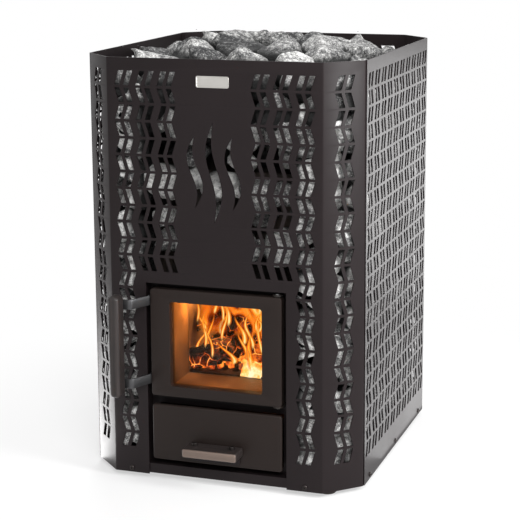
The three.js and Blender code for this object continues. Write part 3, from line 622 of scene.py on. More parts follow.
@dataclass(frozen=True)
class SplitStone(Finish):
    """Split grey stone, speckled, each piece of its own tone, with painted shade low among the stones and painted
    light on those seen through the front slots.
    """

    name: str = "stone"
    # Per-stone attribute: a random tone, raised as painted light on the stones seen through the front slots.
    tint: str = "tint"
    # Painted-shade attribute: 0 where a stone lies lowest or furthest in, 1 at its outer face.
    depth: str = "depth"
    # The colour of the painted shade between the stones.
    painted_shade_tone: Colour = (0.010, 0.010, 0.010)
    tones: tuple[Colour, ...] = (
        (0.020, 0.020, 0.021),
        (0.115, 0.115, 0.115),
        (0.30, 0.298, 0.292),
        (0.80, 0.795, 0.78),
    )
    stops: tuple[float, ...] = (0.36, 0.46, 0.56, 0.72)

    def paint(self, graph: Graph) -> dict[str, Any]:
        """Speckles over broken faces, lighter or darker from stone to stone, brightened by painted light on the
        stones seen through the front slots and darkened by painted shade where the depth attribute is low.
        """
        where = graph.objects()
        tone = graph.node("ShaderNodeAttribute", {"attribute_name": self.tint}, None, "Fac")
        grain = graph.noise(where, 135.0, 5.0, 0.72)
        patch = graph.noise(where, 21.0, 4.0, 0.6)
        fleck = graph.cells(where, 330.0).between(0.52, 0.16)
        chips = graph.cells(where, 62.0)
        mixed = grain * 0.90 + patch * 0.32 + fleck * 0.12 + tone * 0.20 - 0.23
        bright = graph.ramp(mixed, list(zip(self.stops, self.tones)))
        # Painted shade: the colour goes to the shade colour where the depth attribute is low.
        depth = graph.node("ShaderNodeAttribute", {"attribute_name": self.depth}, None, "Fac")
        return {
            "Base Color": graph.mix((depth + patch * 0.2).between(0.62, 0.92), self.painted_shade_tone, bright),
            "Roughness": grain * 0.2 + 0.72,
            "Specular IOR Level": 0.35,
            "Normal": graph.bump(grain * 1.2 + patch * 1.2 + chips * 1.2, 0.9, 3.2 * MM),
        }


@dataclass(frozen=True)
class StainedWood(Finish):
    """Dark stained hardwood with its grain along one axis."""

    name: str = "dark_wood"
    stretch: Colour = (210.0, 210.0, 9.0)
    pore: Colour = (0.0034, 0.0027, 0.0026)
    stain: Colour = (0.0135, 0.0098, 0.0092)
    sheen: Colour = (0.032, 0.0235, 0.022)

    def paint(self, graph: Graph) -> dict[str, Any]:
        """Long fibres with open pores."""
        fibre = graph.noise(graph.objects(self.stretch), 1.0, 4.0, 0.6)
        band = graph.noise(graph.objects(tuple(value / 7 for value in self.stretch)), 1.0, 2.0)
        tone = fibre * 0.7 + band * 0.3
        return {
            "Base Color": graph.ramp(tone, [(0.30, self.pore), (0.50, self.stain), (0.72, self.sheen)]),
            "Roughness": 0.62 - fibre * 0.22,
            "Specular IOR Level": 0.4,
            "Normal": graph.bump(fibre, 0.35, 0.5 * MM),
        }


@dataclass(frozen=True)
class FrontLitWood(StainedWood):
    """Stained wood with its front face painted paler, a painted highlight where the light falls on it."""

    name: str = "drawer_wood"
    stretch: Colour = (9.0, 210.0, 210.0)
    # The pale colour of the painted highlight on the front face.
    front_light_tone: Colour = (0.19, 0.138, 0.112)
    front: float = 0.0
    # How far back from the front the painted highlight reaches.
    front_light_reach: float = 3 * MM

    def paint(self, graph: Graph) -> dict[str, Any]:
        """The stain, with a patchy painted highlight towards the front."""
        inputs = super().paint(graph)
        _, along, _ = graph.parts(graph.objects())
        # Patchy strength of the painted highlight on the front face.
        worn = graph.noise(graph.objects(self.stretch), 0.5, 3.0) * 0.9 + 0.35
        share = worn * (1.0 - along.between(self.front, self.front + self.front_light_reach))
        inputs["Base Color"] = graph.mix(share, inputs["Base Color"], self.front_light_tone)
        return inputs


@dataclass(frozen=True)
class CharredWood(Finish):
    """Burning split wood: black char that glows in its cracks."""

    name: str = "charred_wood"
    char: Colour = (0.006, 0.005, 0.005)
    ash: Colour = (0.055, 0.046, 0.042)
    glow: float = 1.25
    spread: float = 0.0
    crack_scale: Colour = (46.0, 20.0, 58.0)

    def paint(self, graph: Graph) -> dict[str, Any]:
        """Cracked char with embers showing through."""
        where = graph.objects()
        warp = graph.noise(where, 26.0, 3.0)
        crack = graph.cells(graph.swirl(graph.objects(self.crack_scale), 0.8, 0.9), 1.0, "DISTANCE_TO_EDGE")
        heat = graph.noise(where, 17.0, 4.0, 0.6)
        open_crack = 1.0 - (crack + warp * 0.08).between(0.03, 0.09)
        lit = open_crack * heat.between(0.42, 0.60) + heat.between(0.60 - self.spread, 0.82 - self.spread)
        stops = [(0.0, (0, 0, 0)), (0.30, (0.22, 0.018, 0.0)), (0.65, (0.95, 0.19, 0.01)), (1.0, (1.0, 0.52, 0.10))]
        return {
            "Base Color": graph.mix(heat.between(0.55, 0.80), self.char, self.ash),
            "Roughness": 0.95,
            "Emission Color": graph.ramp(lit, stops),
            "Emission Strength": self.glow,
            "Normal": graph.bump(crack.between(0.0, 0.25) + warp * 0.5, 0.8, 3 * MM),
        }


@dataclass(frozen=True)
class GlowingCoal(Finish):
    """Embers that glow from inside under a skin of ash."""

    name: str = "glowing_coal"
    glow: float = 1.25
    heat_shift: float = 0.0

    def paint(self, graph: Graph) -> dict[str, Any]:
        """Orange heat that breaks through dark ash."""
        where = graph.objects()
        heat = graph.noise(where, 24.0, 4.0, 0.65)
        skin = graph.noise(where, 95.0, 4.0, 0.7)
        lit = heat * 0.75 + skin * 0.40 + self.heat_shift
        stops = [
            (0.44, (0.004, 0.001, 0.0)),
            (0.53, (0.30, 0.022, 0.0)),
            (0.61, (0.95, 0.18, 0.008)),
            (0.72, (1.0, 0.50, 0.08)),
            (0.86, (1.0, 0.88, 0.55)),
        ]
        return {
            "Base Color": graph.mix(skin, (0.015, 0.012, 0.011), (0.12, 0.09, 0.075)),
            "Roughness": 1.0,
            "Emission Color": graph.ramp(lit, stops),
            "Emission Strength": self.glow,
            "Normal": graph.bump(skin, 0.6, 1.5 * MM),
        }


@dataclass(frozen=True)
class FlameLight(Finish):
    """A tongue of burning gas: bright along its middle, red and thin at its edges."""

    name: str = "flame"
    glow: float = 1.1

    def paint(self, graph: Graph) -> dict[str, Any]:
        """Heat by the distance from the tongue's middle line and root."""
        across, rise, _ = graph.parts(graph.node("ShaderNodeTexCoord", output="UV"))
        tear = graph.noise(graph.objects((1.0, 1.0, 0.35)), 90.0, 3.0)
        middle = 1.0 - abs(across * 2.0 - 1.0)
        heat = middle * 1.2 - rise * 0.40 + tear * 0.60 - 0.36
        fade = rise.between(0.0, 0.16) * (1.0 - rise.between(0.62, 1.0))
        stops = [
            (0.10, (0.16, 0.008, 0.0)),
            (0.34, (0.75, 0.085, 0.002)),
            (0.58, (1.0, 0.23, 0.006)),
            (0.82, (1.0, 0.46, 0.04)),
            (1.00, (1.0, 0.80, 0.35)),
        ]
        return {
            "Base Color": (0, 0, 0, 1),
            "Roughness": 1.0,
            "Specular IOR Level": 0.0,
            "Emission Color": graph.ramp(heat, stops),
            "Emission Strength": self.glow,
            "Alpha": middle.between(0.0, 0.9) * heat.between(0.05, 0.45) * fade,
        }


@dataclass(frozen=True)
class FlameHaze(Finish):
    """A sheet of fire: bright winding lines in dark red haze."""

    name: str = "flame_haze"
    glow: float = 1.2
    stretch: Colour = (1.0, 1.0, 0.55)

    def paint(self, graph: Graph) -> dict[str, Any]:
        """Lines along the level lines of a swirled cloud, over patches of glow."""
        across, rise, _ = graph.parts(graph.node("ShaderNodeTexCoord", output="UV"))
        where = graph.swirl(graph.objects(self.stretch), 17.0, 0.07)
        line = 1.0 - abs(graph.noise(where, 23.0, 1.0) * 2.0 - 1.0)
        body = graph.noise(where, 13.0, 3.0).between(0.42, 0.68)
        sides = 1.0 - abs(across * 2.0 - 1.0)
        fade = sides.between(0.0, 0.2) * rise.between(0.0, 0.14) * (1.0 - rise.between(0.82, 1.0))
        heat = line.between(0.66, 0.99) * 0.55 + body * 0.48
        stops = [
            (0.04, (0.03, 0.003, 0.0)),
            (0.28, (0.36, 0.034, 0.001)),
            (0.52, (0.90, 0.19, 0.008)),
            (0.76, (1.0, 0.45, 0.05)),
            (0.97, (1.0, 0.84, 0.42)),
        ]
        return {
            "Base Color": (0, 0, 0, 1),
            "Roughness": 1.0,
            "Specular IOR Level": 0.0,
            "Emission Color": graph.ramp(heat, stops),
            "Emission Strength": self.glow,
            "Alpha": heat.between(0.10, 0.44) * fade,
        }


@dataclass(frozen=True)
class FireClay(Finish):
    """Pale fire brick, pitted and browned."""

    name: str = "fire_brick"
    clay: Colour = (0.34, 0.235, 0.145)
    stain: Colour = (0.085, 0.058, 0.040)

    def paint(self, graph: Graph) -> dict[str, Any]:
        """Gritty clay with smoke stains."""
        where = graph.objects()
        stain = graph.noise(where, 11.0, 5.0, 0.6)
        grit = graph.noise(where, 210.0, 4.0)
        return {
            "Base Color": graph.mix(stain.between(0.38, 0.75), self.clay, self.stain),
            "Roughness": grit * 0.1 + 0.88,
            "Normal": graph.bump(grit, 0.45, 1.2 * MM),
        }


@dataclass(frozen=True)
class RopeFibre(Finish):
    """Woven glass-fibre rope, greyed by smoke."""

    name: str = "rope"
    pale: Colour = (0.20, 0.19, 0.175)
    smoked: Colour = (0.05, 0.046, 0.042)

    def paint(self, graph: Graph) -> dict[str, Any]:
        """Fine diagonal strands."""
        where = graph.objects()
        strand = graph.node("ShaderNodeTexWave", {"bands_direction": "DIAGONAL"}, {"Vector": where, "Scale": 190.0})
        strand = Wire(graph, strand.socket.node.outputs["Fac"])
        cloud = graph.noise(where, 60.0, 3.0)
        return {
            "Base Color": graph.mix(strand * 0.6 + cloud * 0.4, self.smoked, self.pale),
            "Roughness": 0.95,
            "Normal": graph.bump(strand, 0.6, 0.8 * MM),
        }


@dataclass(frozen=True)
class WindowGlass(Finish):
    """Heat-proof glass with a trace of smoke."""

    name: str = "window_glass"
    clear: Colour = (0.97, 0.95, 0.92)
    smoky: Colour = (0.88, 0.82, 0.74)
    bend: float = 1.12

    def paint(self, graph: Graph) -> dict[str, Any]:
        """Clear glass with faint clouds of soot."""
        cloud = graph.noise(graph.objects(), 17.0, 4.0)
        return {
            "Base Color": graph.mix(cloud.between(0.45, 0.8), self.clear, self.smoky),
            "Roughness": 0.0,
            "Transmission Weight": 1.0,
            "IOR": self.bend,
        }


@dataclass(frozen=True)
class Finishes:
    """One of each material, made once."""

    paint: Material = field(default_factory=lambda: StovePaint().make())
    door_paint: Material = field(
        default_factory=lambda: StovePaint("door_paint", (0.0125, 0.0082, 0.0070), (0.0200, 0.0145, 0.0128), 0.42).make()
    )
    dark_steel: Material = field(default_factory=lambda: SootySteel().make())
    throat_steel: Material = field(
        default_factory=lambda: SootySteel("throat_steel", (0.042, 0.026, 0.014), (0.120, 0.074, 0.038)).make()
    )
    cast_iron: Material = field(
        default_factory=lambda: SootySteel("cast_iron", (0.010, 0.009, 0.009), (0.035, 0.030, 0.028)).make()
    )
    steel: Material = field(default_factory=lambda: BareSteel().make())
    dark_screw: Material = field(
        default_factory=lambda: BareSteel("dark_screw", (0.016, 0.013, 0.012), (0.060, 0.052, 0.050)).make()
    )
    bar_steel: Material = field(
        default_factory=lambda: BareSteel("bar_steel", (0.048, 0.048, 0.050), (0.105, 0.105, 0.108)).make()
    )
    plate: Material = field(
        default_factory=lambda: BareSteel("plate_metal", (0.40, 0.385, 0.36), (0.62, 0.60, 0.57), (12.0, 12.0, 1500.0)).make()
    )
    stone: Material = field(default_factory=lambda: SplitStone().make())
    grip_wood: Material = field(default_factory=lambda: StainedWood().make())
    drawer_wood: Material = field(
        default_factory=lambda: FrontLitWood(front=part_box("drawer_grip")[0].y).make()
    )
    log: Material = field(default_factory=lambda: CharredWood().make())
    hot_log: Material = field(default_factory=lambda: CharredWood("burning_wood", spread=0.10).make())
    coal: Material = field(default_factory=lambda: GlowingCoal().make())
    hot_coal: Material = field(default_factory=lambda: GlowingCoal("white_hot_coal", 1.3, 0.13).make())
    flame: Material = field(default_factory=lambda: FlameLight().make())
    haze: Material = field(default_factory=lambda: FlameHaze().make())
    brick: Material = field(default_factory=lambda: FireClay().make())
    rope: Material = field(default_factory=lambda: RopeFibre().make())
    glass: Material = field(default_factory=lambda: WindowGlass().make())


@dataclass
class Fitter:
    """Ties finished pieces and CAD nodes to their finishes and bodies."""

    nodes: dict[str, Object]

    def fit(self, piece: Object, finish: Material, body: Body, slot: Slot, *nodes: str) -> Object:
        """Dresses a new piece and lets it ride on a body.

        Args:
            piece: The finished piece.
            finish: Its material.
            body: The body that it moves with.
            slot: The record's slot for its finish; not used.
            nodes: The CAD nodes that it stands for.

        Returns:
            The same piece.
        """
        piece.data.materials.clear()
        piece.data.materials.append(finish)
        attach(piece, body.value)
        if nodes:
            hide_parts(*nodes)
        LOG.info("%s: %d faces on %s", piece.name, len(piece.data.polygons), body.value)
        return piece

    def dress(self, finish: Material, *names: str) -> None:
        """Gives CAD nodes that keep their shape a finish."""
        for name in names:
            mesh = self.nodes[name].data
            mesh.materials.clear()
            mesh.materials.append(finish)
            LOG.info("%s: CAD node in %s", name, finish.name)


@dataclass(frozen=True)
class Perforation:
    """Rows of leaning slots in pairs, each row leaning against the next."""

    row_pitch: float = 30 * MM
    slot_height: float = 25.5 * MM
    lean: float = 8 * MM
    web: float = 6.5 * MM
    top_margin: float = 23 * MM
    bottom_margin: float = 49.5 * MM

    def bottoms(self, low: float, high: float) -> list[float]:
        """The heights of the rows' lower ends, from the top row down."""
        first = high - self.top_margin - self.slot_height
        count = math.floor((first - low - self.bottom_margin) / self.row_pitch) + 1
        return [first - row * self.row_pitch for row in range(count)]

    def pair(self, centre: float, cell: float, bottom: float, row: int) -> list[Loop]:
        """The two slots of one cell.

        Args:
            centre: The cell's middle across the sheet.
            cell: The cell's width.
            bottom: The height of the slots' lower ends.
            row: The row's number from the top, which sets the side that it leans to.

        Returns:
            A closed line for each slot.
        """
        lean = self.lean if row % 2 == 0 else -self.lean
        width = (cell - self.lean - self.web) / 2
        top = bottom + self.slot_height
        left = centre - cell / 2
        foot = left + max(-lean, 0.0)
        head = left + max(lean, 0.0)
        loops = []
        for step in (0.0, width + self.web):
            loops.append(
                [(foot + step, bottom), (foot + step + width, bottom), (head + step + width, top), (head + step, top)]
            )
        return loops


@dataclass
class Casing:
    """The slotted casing: front and rear sheets folded round the corners, and two flat sides."""

    fitter: Fitter
    finishes: Finishes
    sheet: float = 2 * MM
    corner_leg: float = 60 * MM
    slip: float = 2.3 * MM
    lap: float = 17 * MM
    bend_step: float = 1.5 * MM
    bend_steps: int = 3
    seam: float = 1.2 * MM
    slots: Perforation = field(default_factory=Perforation)
    columns: int = 3
    column_pitch: float = 40 * MM
    column_edge: float = 13.5 * MM
    front_cell: float = 35 * MM
    corner_cell: float = 39 * MM
    side_columns: int = 10
    side_pitch: float = 45 * MM
    side_cell: float = 39 * MM
    reveal: float = 5 * MM
    doorway_margin: float = 12 * MM
    wisp_heights: tuple[float, ...] = (128 * MM, 177 * MM, 128 * MM)
    wisp_pitch: float = 35 * MM
    wisp_half_width: float = 8 * MM
    wisp_sway: float = 9 * MM
    wisp_drop: float = 197 * MM
    wisp_steps: int = 28
    flue_gap: float = 5 * MM

    def __post_init__(self) -> None:
        """Takes the driving sizes from the frame."""
        low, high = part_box("casing_front")
        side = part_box("casing_right")[1]
        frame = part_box("front_frame")[1]
        self.bottom, self.top = low.z, high.z
        self.front = low.y
        self.half_width = side.x
        self.half_front = side.x - self.corner_leg
        self.half_side = -self.front - self.corner_leg
        self.doorway = (frame.x - self.reveal, frame.z - self.reveal)
        self.corner = self.corner_leg * math.sqrt(2)
        self.rows = self.slots.bottoms(self.bottom, self.top)

    def build(self) -> None:
        """Makes the four sheets."""
        self._fold_front()
        self._fold_rear()
        for side, name in ((1, "right"), (-1, "left")):
            self._cut_side(side, name)

    def _column_centres(self) -> list[float]:
        """The middles of the front's slot columns on one side, from the outer one inwards."""
        outer = self.half_front - self.column_edge - self.front_cell / 2
        return [outer - step * self.column_pitch for step in range(self.columns)]

    def _column_slots(self, clear_of_doorway: bool) -> list[Loop]:
        """The slots of a front or rear sheet, with those of its corners."""
        loops = []
        corner = self.half_front + self.corner / 2
        for row, bottom in enumerate(self.rows):
            beside = clear_of_doorway and bottom < self.doorway[1] + self.doorway_margin
            limit = self.doorway[0] + self.doorway_margin if beside else 0.0
            for centre in self._column_centres():
                if centre - self.front_cell / 2 > limit:
                    loops += self.slots.pair(centre, self.front_cell, bottom, row)
                    loops += self.slots.pair(-centre, self.front_cell, bottom, row)
            for side in (-1, 1):
                loops += self.slots.pair(side * corner, self.corner_cell, bottom, row)
        return loops

    def _wisps(self) -> list[Loop]:
        """The cut-out over the door: three rising wisps of steam."""
        middle = (len(self.wisp_heights) - 1) / 2
        loops = []
        for index, height in enumerate(self.wisp_heights):
            left, right = [], []
            for step in range(self.wisp_steps + 1):
                share = step / self.wisp_steps
                sway = (index - middle) * self.wisp_pitch + self.wisp_sway * math.sin(2 * math.pi * share)
                swell = self.wisp_half_width * math.sin(math.pi * share)
                rise = self.top - self.wisp_drop + (share - 0.5) * height
                right.append((sway + swell, rise))
                left.append((sway - swell, rise))
            loops.append(right + left[-2:0:-1])
        return loops

    def _half_length(self) -> float:
        """Half the flat length of a sheet with its corners and laps."""
        return self.half_front + self.corner - self.slip * math.sqrt(2) + self.lap

    def _fold_front(self) -> None:
        """Cuts and folds the front sheet, with the doorway open to its foot."""
        reach = self._half_length()
        half, top = self.doorway
        edge = [
            (-reach, self.bottom),
            (-half, self.bottom),
            (-half, top),
            (half, top),
            (half, self.bottom),
            (reach, self.bottom),
            (reach, self.top),
            (-reach, self.top),
        ]
        piece = self._sheet("front_sheet", [edge, *self._column_slots(True), *self._wisps()])
        self._fold_corners(piece)
        nodes = ("casing_front", "corner_front_left", "corner_front_right")
        self.fitter.fit(piece, self.finishes.paint, Body.STOVE, Slot.PAINT, *nodes)

    def _fold_rear(self) -> None:
        """Cuts and folds the rear sheet, with a hole for the flue."""
        reach = self._half_length()
        edge = Draw.rectangle((-reach, self.bottom), (reach, self.top))
        low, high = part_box("flue_spigot")
        hole = Draw.circle((0.0, (low.z + high.z) / 2), self._flue_radius() + self.flue_gap)
        piece = self._sheet("rear_sheet", [edge, *self._column_slots(False), hole])
        self._fold_corners(piece)
        Bench.settle(piece, Matrix.Rotation(math.pi, 4, "Z"))
        nodes = ("casing_rear", "corner_rear_left", "corner_rear_right")
        self.fitter.fit(piece, self.finishes.paint, Body.STOVE, Slot.PAINT, *nodes)

    @staticmethod
    def _flue_radius() -> float:
        """The outer radius of the flue's tube, at its far end."""
        ends = [vertex.co for vertex in bpy.data.objects["flue_spigot"].data.vertices]
        far = max(point.y for point in ends)
        return max(abs(point.x) for point in ends if point.y > far - MM)

    def _sheet(self, name: str, loops: Sequence[Loop]) -> Object:
        """A flat sheet at the casing's front."""
        return Bench.flat(name, loops, (self.front, self.front + self.sheet))

    def _fold_corners(self, piece: Object) -> None:
        """Bends a flat sheet round both corners and once more for its laps."""
        bend = self.half_front
        lap_bend = self._half_length() - self.lap
        for side in (-1, 1):
            self._fold(piece, side, lap_bend)
            self._fold(piece, side, bend)
        Bench.smooth(piece, 25.0)

    def _fold(self, piece: Object, side: int, line: float) -> None:
        """Bends what lies outside a line by an eighth of a turn, in steps from the outside in."""
        middle = (self.bend_steps - 1) / 2
        angle = math.radians(45) / self.bend_steps
        for step in range(self.bend_steps):
            place = side * (line + (middle - step) * self.bend_step)
            with Bench.editing(piece):
                bpy.ops.mesh.select_all(action="SELECT")
                bpy.ops.mesh.bisect(plane_co=(place, 0, 0), plane_no=(1, 0, 0))
            Bench.select_points(piece, lambda point, at=place: (point.x - at) * side > MERGE_DISTANCE)
            with Bench.editing(piece):
                pivot = (place, self.front, 0)
                bpy.ops.transform.rotate(value=-side * angle, orient_axis="Z", center_override=pivot)

    def _cut_side(self, side: int, name: str) -> None:
        """Cuts one flat side and stands it in its place."""
        half = self.half_side - self.seam
        first = -(self.side_columns - 1) * self.side_pitch / 2
        loops = [Draw.rectangle((-half, self.bottom), (half, self.top))]
        for row, bottom in enumerate(self.rows):
            for column in range(self.side_columns):
                loops += self.slots.pair(first + column * self.side_pitch, self.side_cell, bottom, row)
        span = (-self.half_width, self.sheet - self.half_width)
        piece = Bench.flat(f"{name}_sheet", loops, span)
        Bench.settle(piece, Matrix.Rotation(side * math.pi / 2, 4, "Z"))
        self.fitter.fit(piece, self.finishes.paint, Body.STOVE, Slot.PAINT, f"casing_{name}")


class Draws:
    """A seeded row of draws. It lays the stones where the solids have them."""

    def __init__(self, seed: int) -> None:
        """Starts the row."""
        self.state = seed

    def share(self) -> float:
        """The next draw, from 0 to 1."""
        self.state = self.state * 16807 % 2147483647
        return self.state / 2147483647

    def shake(self, reach: float) -> float:
        """The next draw, spread to both sides of 0."""
        return (self.share() * 2 - 1) * reach


@dataclass(frozen=True)
class Kind:
    """A family of stones: how many corners they have and how large they are."""

    corners: int
    radius: float
    half_height: float
    bevel: float
    voxel: float
    rough: float

    def forms(self, draws: Draws, count: int, uneven: float) -> list[list[Vector]]:
        """Draws the corners of a few stones of this kind.

        Args:
            draws: The row of draws.
            count: The number of stones.
            uneven: How far the corners are shaken.

        Returns:
            A list of corners for each stone.
        """
        golden = math.pi * (3 - math.sqrt(5))
        forms = []
        for _ in range(count):
            form = []
            for index in range(self.corners):
                rise = 1 - (2 * index + 1) / self.corners
                around = self.radius * math.sqrt(1 - rise * rise)
                angle = golden * index
                corner = Vector((around * math.cos(angle), around * math.sin(angle), self.half_height * rise))
                form.append(corner + Vector((draws.shake(uneven), draws.shake(uneven), draws.shake(uneven))))
            forms.append(form)
        return forms


@dataclass(frozen=True)
class Lump:
    """One stone: its pattern and its place."""

    pattern: Object
    place: Matrix


@dataclass
class Stones:
    """The stones: one layer round the firebox, a crown over it, and smaller ones in between."""

    fitter: Fitter
    finishes: Finishes
    seed: int = 41
    fill_seed: int = 29
    kinds: int = 8
    uneven: float = 13 * MM
    jitter: float = 8 * MM
    gap: float = 6 * MM
    crown_kind: Kind = Kind(12, 48 * MM, 36 * MM, 6 * MM, 4.6 * MM, 5 * MM)
    wall_kind: Kind = Kind(8, 54 * MM, 46 * MM, 8 * MM, 8.5 * MM, 6 * MM)
    fill_kind: Kind = Kind(8, 38 * MM, 30 * MM, 6 * MM, 0.0, 0.0)
    crown_pitch: float = 80 * MM
    crown_row_pitch: float = 76 * MM
    crown_rise: float = 30 * MM
    crown_edge_drop: float = 12 * MM
    crown_fill_lift: float = 10 * MM
    wall_pitch: float = 98 * MM
    wall_recess: float = 7 * MM
    # How far painted light lifts the stones seen through the front slots, in tone and in the shade mask.
    slot_light_lift: float = 0.34
    fill_inset: float = 36 * MM
    middle_pitch: float = 84 * MM
    corner_pitch: float = 50 * MM
    corner_insets: tuple[Point, ...] = ((63 * MM, 59 * MM), (90 * MM, 24 * MM), (24 * MM, 84 * MM))
    corner_leg: float = 60 * MM
    flue_room: float = 1.5 * MM

    def __post_init__(self) -> None:
        """Takes the places of the casing and the firebox from the frame."""
        self.draws = Draws(self.seed)
        self.fill_draws = Draws(self.fill_seed)
        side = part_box("casing_right")[1]
        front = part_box("casing_front")
        self.half_x, self.half_y = side.x - self.gap, -front[0].y - self.gap
        self.rim = front[1].z
        self.diagonal_outer = side.x - self.corner_leg - front[0].y
        self.diagonal = self.diagonal_outer - self.gap * math.sqrt(2)
        self.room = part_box("firebox_shell")[1]
        self.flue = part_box("flue_spigot")
        self.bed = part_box("stones_right")[1].z

    def build(self) -> None:
        """Makes the patterns, then each heap from copies of them."""
        crown_forms = self.crown_kind.forms(self.draws, self.kinds, self.uneven)
        wall_forms = self.wall_kind.forms(self.draws, self.kinds, self.uneven)
        fill_forms = self.fill_kind.forms(self.fill_draws, self.kinds, self.uneven * 0.7)
        crown = [self._pattern(self.crown_kind, form) for form in crown_forms]
        walls = [self._pattern(self.wall_kind, form) for form in wall_forms]
        fill = [self._pattern(self.fill_kind, form) for form in fill_forms]
        across, along = Vector((1, 0, 0)), Vector((0, 1, 0))
        heaps = {"top": self._crown(crown, crown_forms)}
        for name, outward in (("right", across), ("left", across), ("front", along), ("rear", along)):
            heaps[name] = self._wall(f"stones_{name}", outward, walls, wall_forms)
        heaps["top"] += self._crown_fill(crown, crown_forms) + self._middle(fill)
        for name, outward in (("right", across), ("left", across), ("front", along), ("rear", along)):
            heaps[name] += self._wall_fill(f"stones_{name}", outward, fill, fill_forms)
        for name in ("right", "left"):
            heaps[name] += self._corner_fill(f"stones_{name}", fill)
        for name, lumps in heaps.items():
            self._heap(name, lumps)
        Bench.remove(*crown, *walls, *fill)

    def _pattern(self, kind: Kind, corners: Sequence[Vector]) -> Object:
        """One split stone: a hull over its corners with worn edges and chipped faces.

        Args:
            kind: The stone's kind.
            corners: Its corners.

        Returns:
            The stone, with its middle at the origin.
        """
        if kind.corners == 12:
            bpy.ops.mesh.primitive_ico_sphere_add(subdivisions=1)
        else:
            bpy.ops.mesh.primitive_cube_add()
        piece = bpy.context.object
        piece.name = "stone_pattern"
        for vertex, corner in zip(piece.data.vertices, corners):
            vertex.co = corner
        with Bench.editing(piece):
            bpy.ops.mesh.select_all(action="SELECT")
            bpy.ops.mesh.convex_hull(use_existing_faces=False)
        steps = 2 if kind.voxel else 1
        Bench.modify(piece, "BEVEL", width=kind.bevel, segments=steps, limit_method="ANGLE", angle_limit=0.2)
        if kind.voxel:
            Bench.modify(piece, "REMESH", mode="VOXEL", voxel_size=kind.voxel)
            for pattern, scale, share in (("VORONOI", 24 * MM, 0.8), ("CLOUDS", 11 * MM, 0.6)):
                texture = bpy.data.textures.new("stone_chips", pattern)
                texture.noise_scale = scale
                Bench.modify(piece, "DISPLACE", texture=texture, strength=kind.rough * share, mid_level=0.5)
        return Bench.smooth(piece, 38.0)

    @staticmethod
    def _spread(low: float, high: float, pitch: float) -> list[float]:
        """Even places between two ends, about a pitch apart."""
        count = max(math.floor((high - low) / pitch + 0.5), 1)
        step = (high - low) / count
        return [low + (index + 0.5) * step for index in range(count)]

    def _staggered(self, low: float, high: float, pitch: float, row: int) -> list[float]:
        """Places along a row, shifted against those of the rows beside it."""
        shift = pitch / 4 if row % 2 == 0 else -pitch / 4
        return [place + shift for place in self._spread(low, high, pitch)]

    def _pick(self, draws: Draws, patterns: Sequence[Object], forms: Sequence[list[Vector]]) -> tuple[Object, Matrix, list[Vector]]:
        """Draws a stone and its turn.

        Args:
            draws: The row of draws.
            patterns: The stones to choose from.
            forms: Their corners.

        Returns:
            The stone, its turn about the upright axis and its turned corners.
        """
        index = math.floor(draws.share() * self.kinds)
        turn = Matrix.Rotation(draws.share() * 2 * math.pi, 4, "Z")
        return patterns[index], turn, [turn @ corner for corner in forms[index]]

    def _peak(self, x: float, y: float) -> float:
        """The crown's height at a place in plan."""
        away = min((x / self.half_x) ** 2 + (y / self.half_y) ** 2, 1.0)
        return self.rim + self.crown_rise - away * (self.crown_rise + self.crown_edge_drop)

    def _crown(self, patterns: Sequence[Object], forms: Sequence[list[Vector]]) -> list[Lump]:
        """The stones on top, highest in the middle."""
        lumps = []
        for row, y in enumerate(self._spread(-self.half_y, self.half_y, self.crown_row_pitch)):
            for x in self._staggered(-self.half_x, self.half_x, self.crown_pitch, row):
                pattern, turn, corners = self._pick(self.draws, patterns, forms)
                lift = self._peak(x, y) - max(corner.z for corner in corners)
                shift = Vector((x + self.draws.shake(self.jitter), y + self.draws.shake(self.jitter), lift))
                lumps.append(Lump(pattern, Matrix.Translation(shift) @ turn))
        return lumps

    def _crown_fill(self, patterns: Sequence[Object], forms: Sequence[list[Vector]]) -> list[Lump]:
        """The layer that shows between the stones on top."""
        lumps = []
        for row, y in enumerate(self._spread(-self.half_y, self.half_y, self.crown_row_pitch)):
            for x in self._staggered(-self.half_x, self.half_x, self.crown_pitch, row + 1):
                if abs(x) + abs(y) < self.diagonal - self.gap:
                    pattern, turn, corners = self._pick(self.fill_draws, patterns, forms)
                    top = self.bed + self.crown_fill_lift + self.fill_draws.share() * self.jitter
                    lift = top - max(corner.z for corner in corners)
                    lumps.append(Lump(pattern, Matrix.Translation((x, y, lift)) @ turn))
        return lumps

    def _middle(self, patterns: Sequence[Object]) -> list[Lump]:
        """The stones on the firebox lid, under the crown."""
        low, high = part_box("firebox_lid")
        lumps = []
        for z in self._spread(high.z, self.bed - self.middle_pitch / 2, self.middle_pitch * 0.7):
            for row, y in enumerate(self._spread(low.y, high.y, self.middle_pitch)):
                for x in self._staggered(low.x, high.x, self.middle_pitch, row):
                    pattern = patterns[math.floor(self.fill_draws.share() * self.kinds)]
                    turn = Matrix.Rotation(self.fill_draws.share() * 2 * math.pi, 4, "Z")
                    lumps.append(Lump(pattern, Matrix.Translation((x, y, z)) @ turn @ Matrix.Scale(1.2, 4)))
        return lumps

    def _wall_rows(self, node: str, outward: Vector, shift: int) -> Iterator[tuple[float, float, float]]:
        """The places of a wall's stones: along it, up it and how far out they reach.

        Args:
            node: The heap's solid.
            outward: The axis that the heap faces before it is turned to its side.
            shift: 0 for the stones themselves, 1 for the places between them.

        Yields:
            The distance along, the height and the reach of each stone.
        """
        low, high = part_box(node)
        half = self.half_y if outward.x else high.x
        for row, height in enumerate(self._spread(low.z, high.z, self.wall_pitch)):
            for along in self._staggered(-half, half, self.wall_pitch, row + shift):
                slope = self.diagonal_outer - abs(along) - self.gap
                yield along, height, min(self.half_x, slope) if outward.x else self.half_y

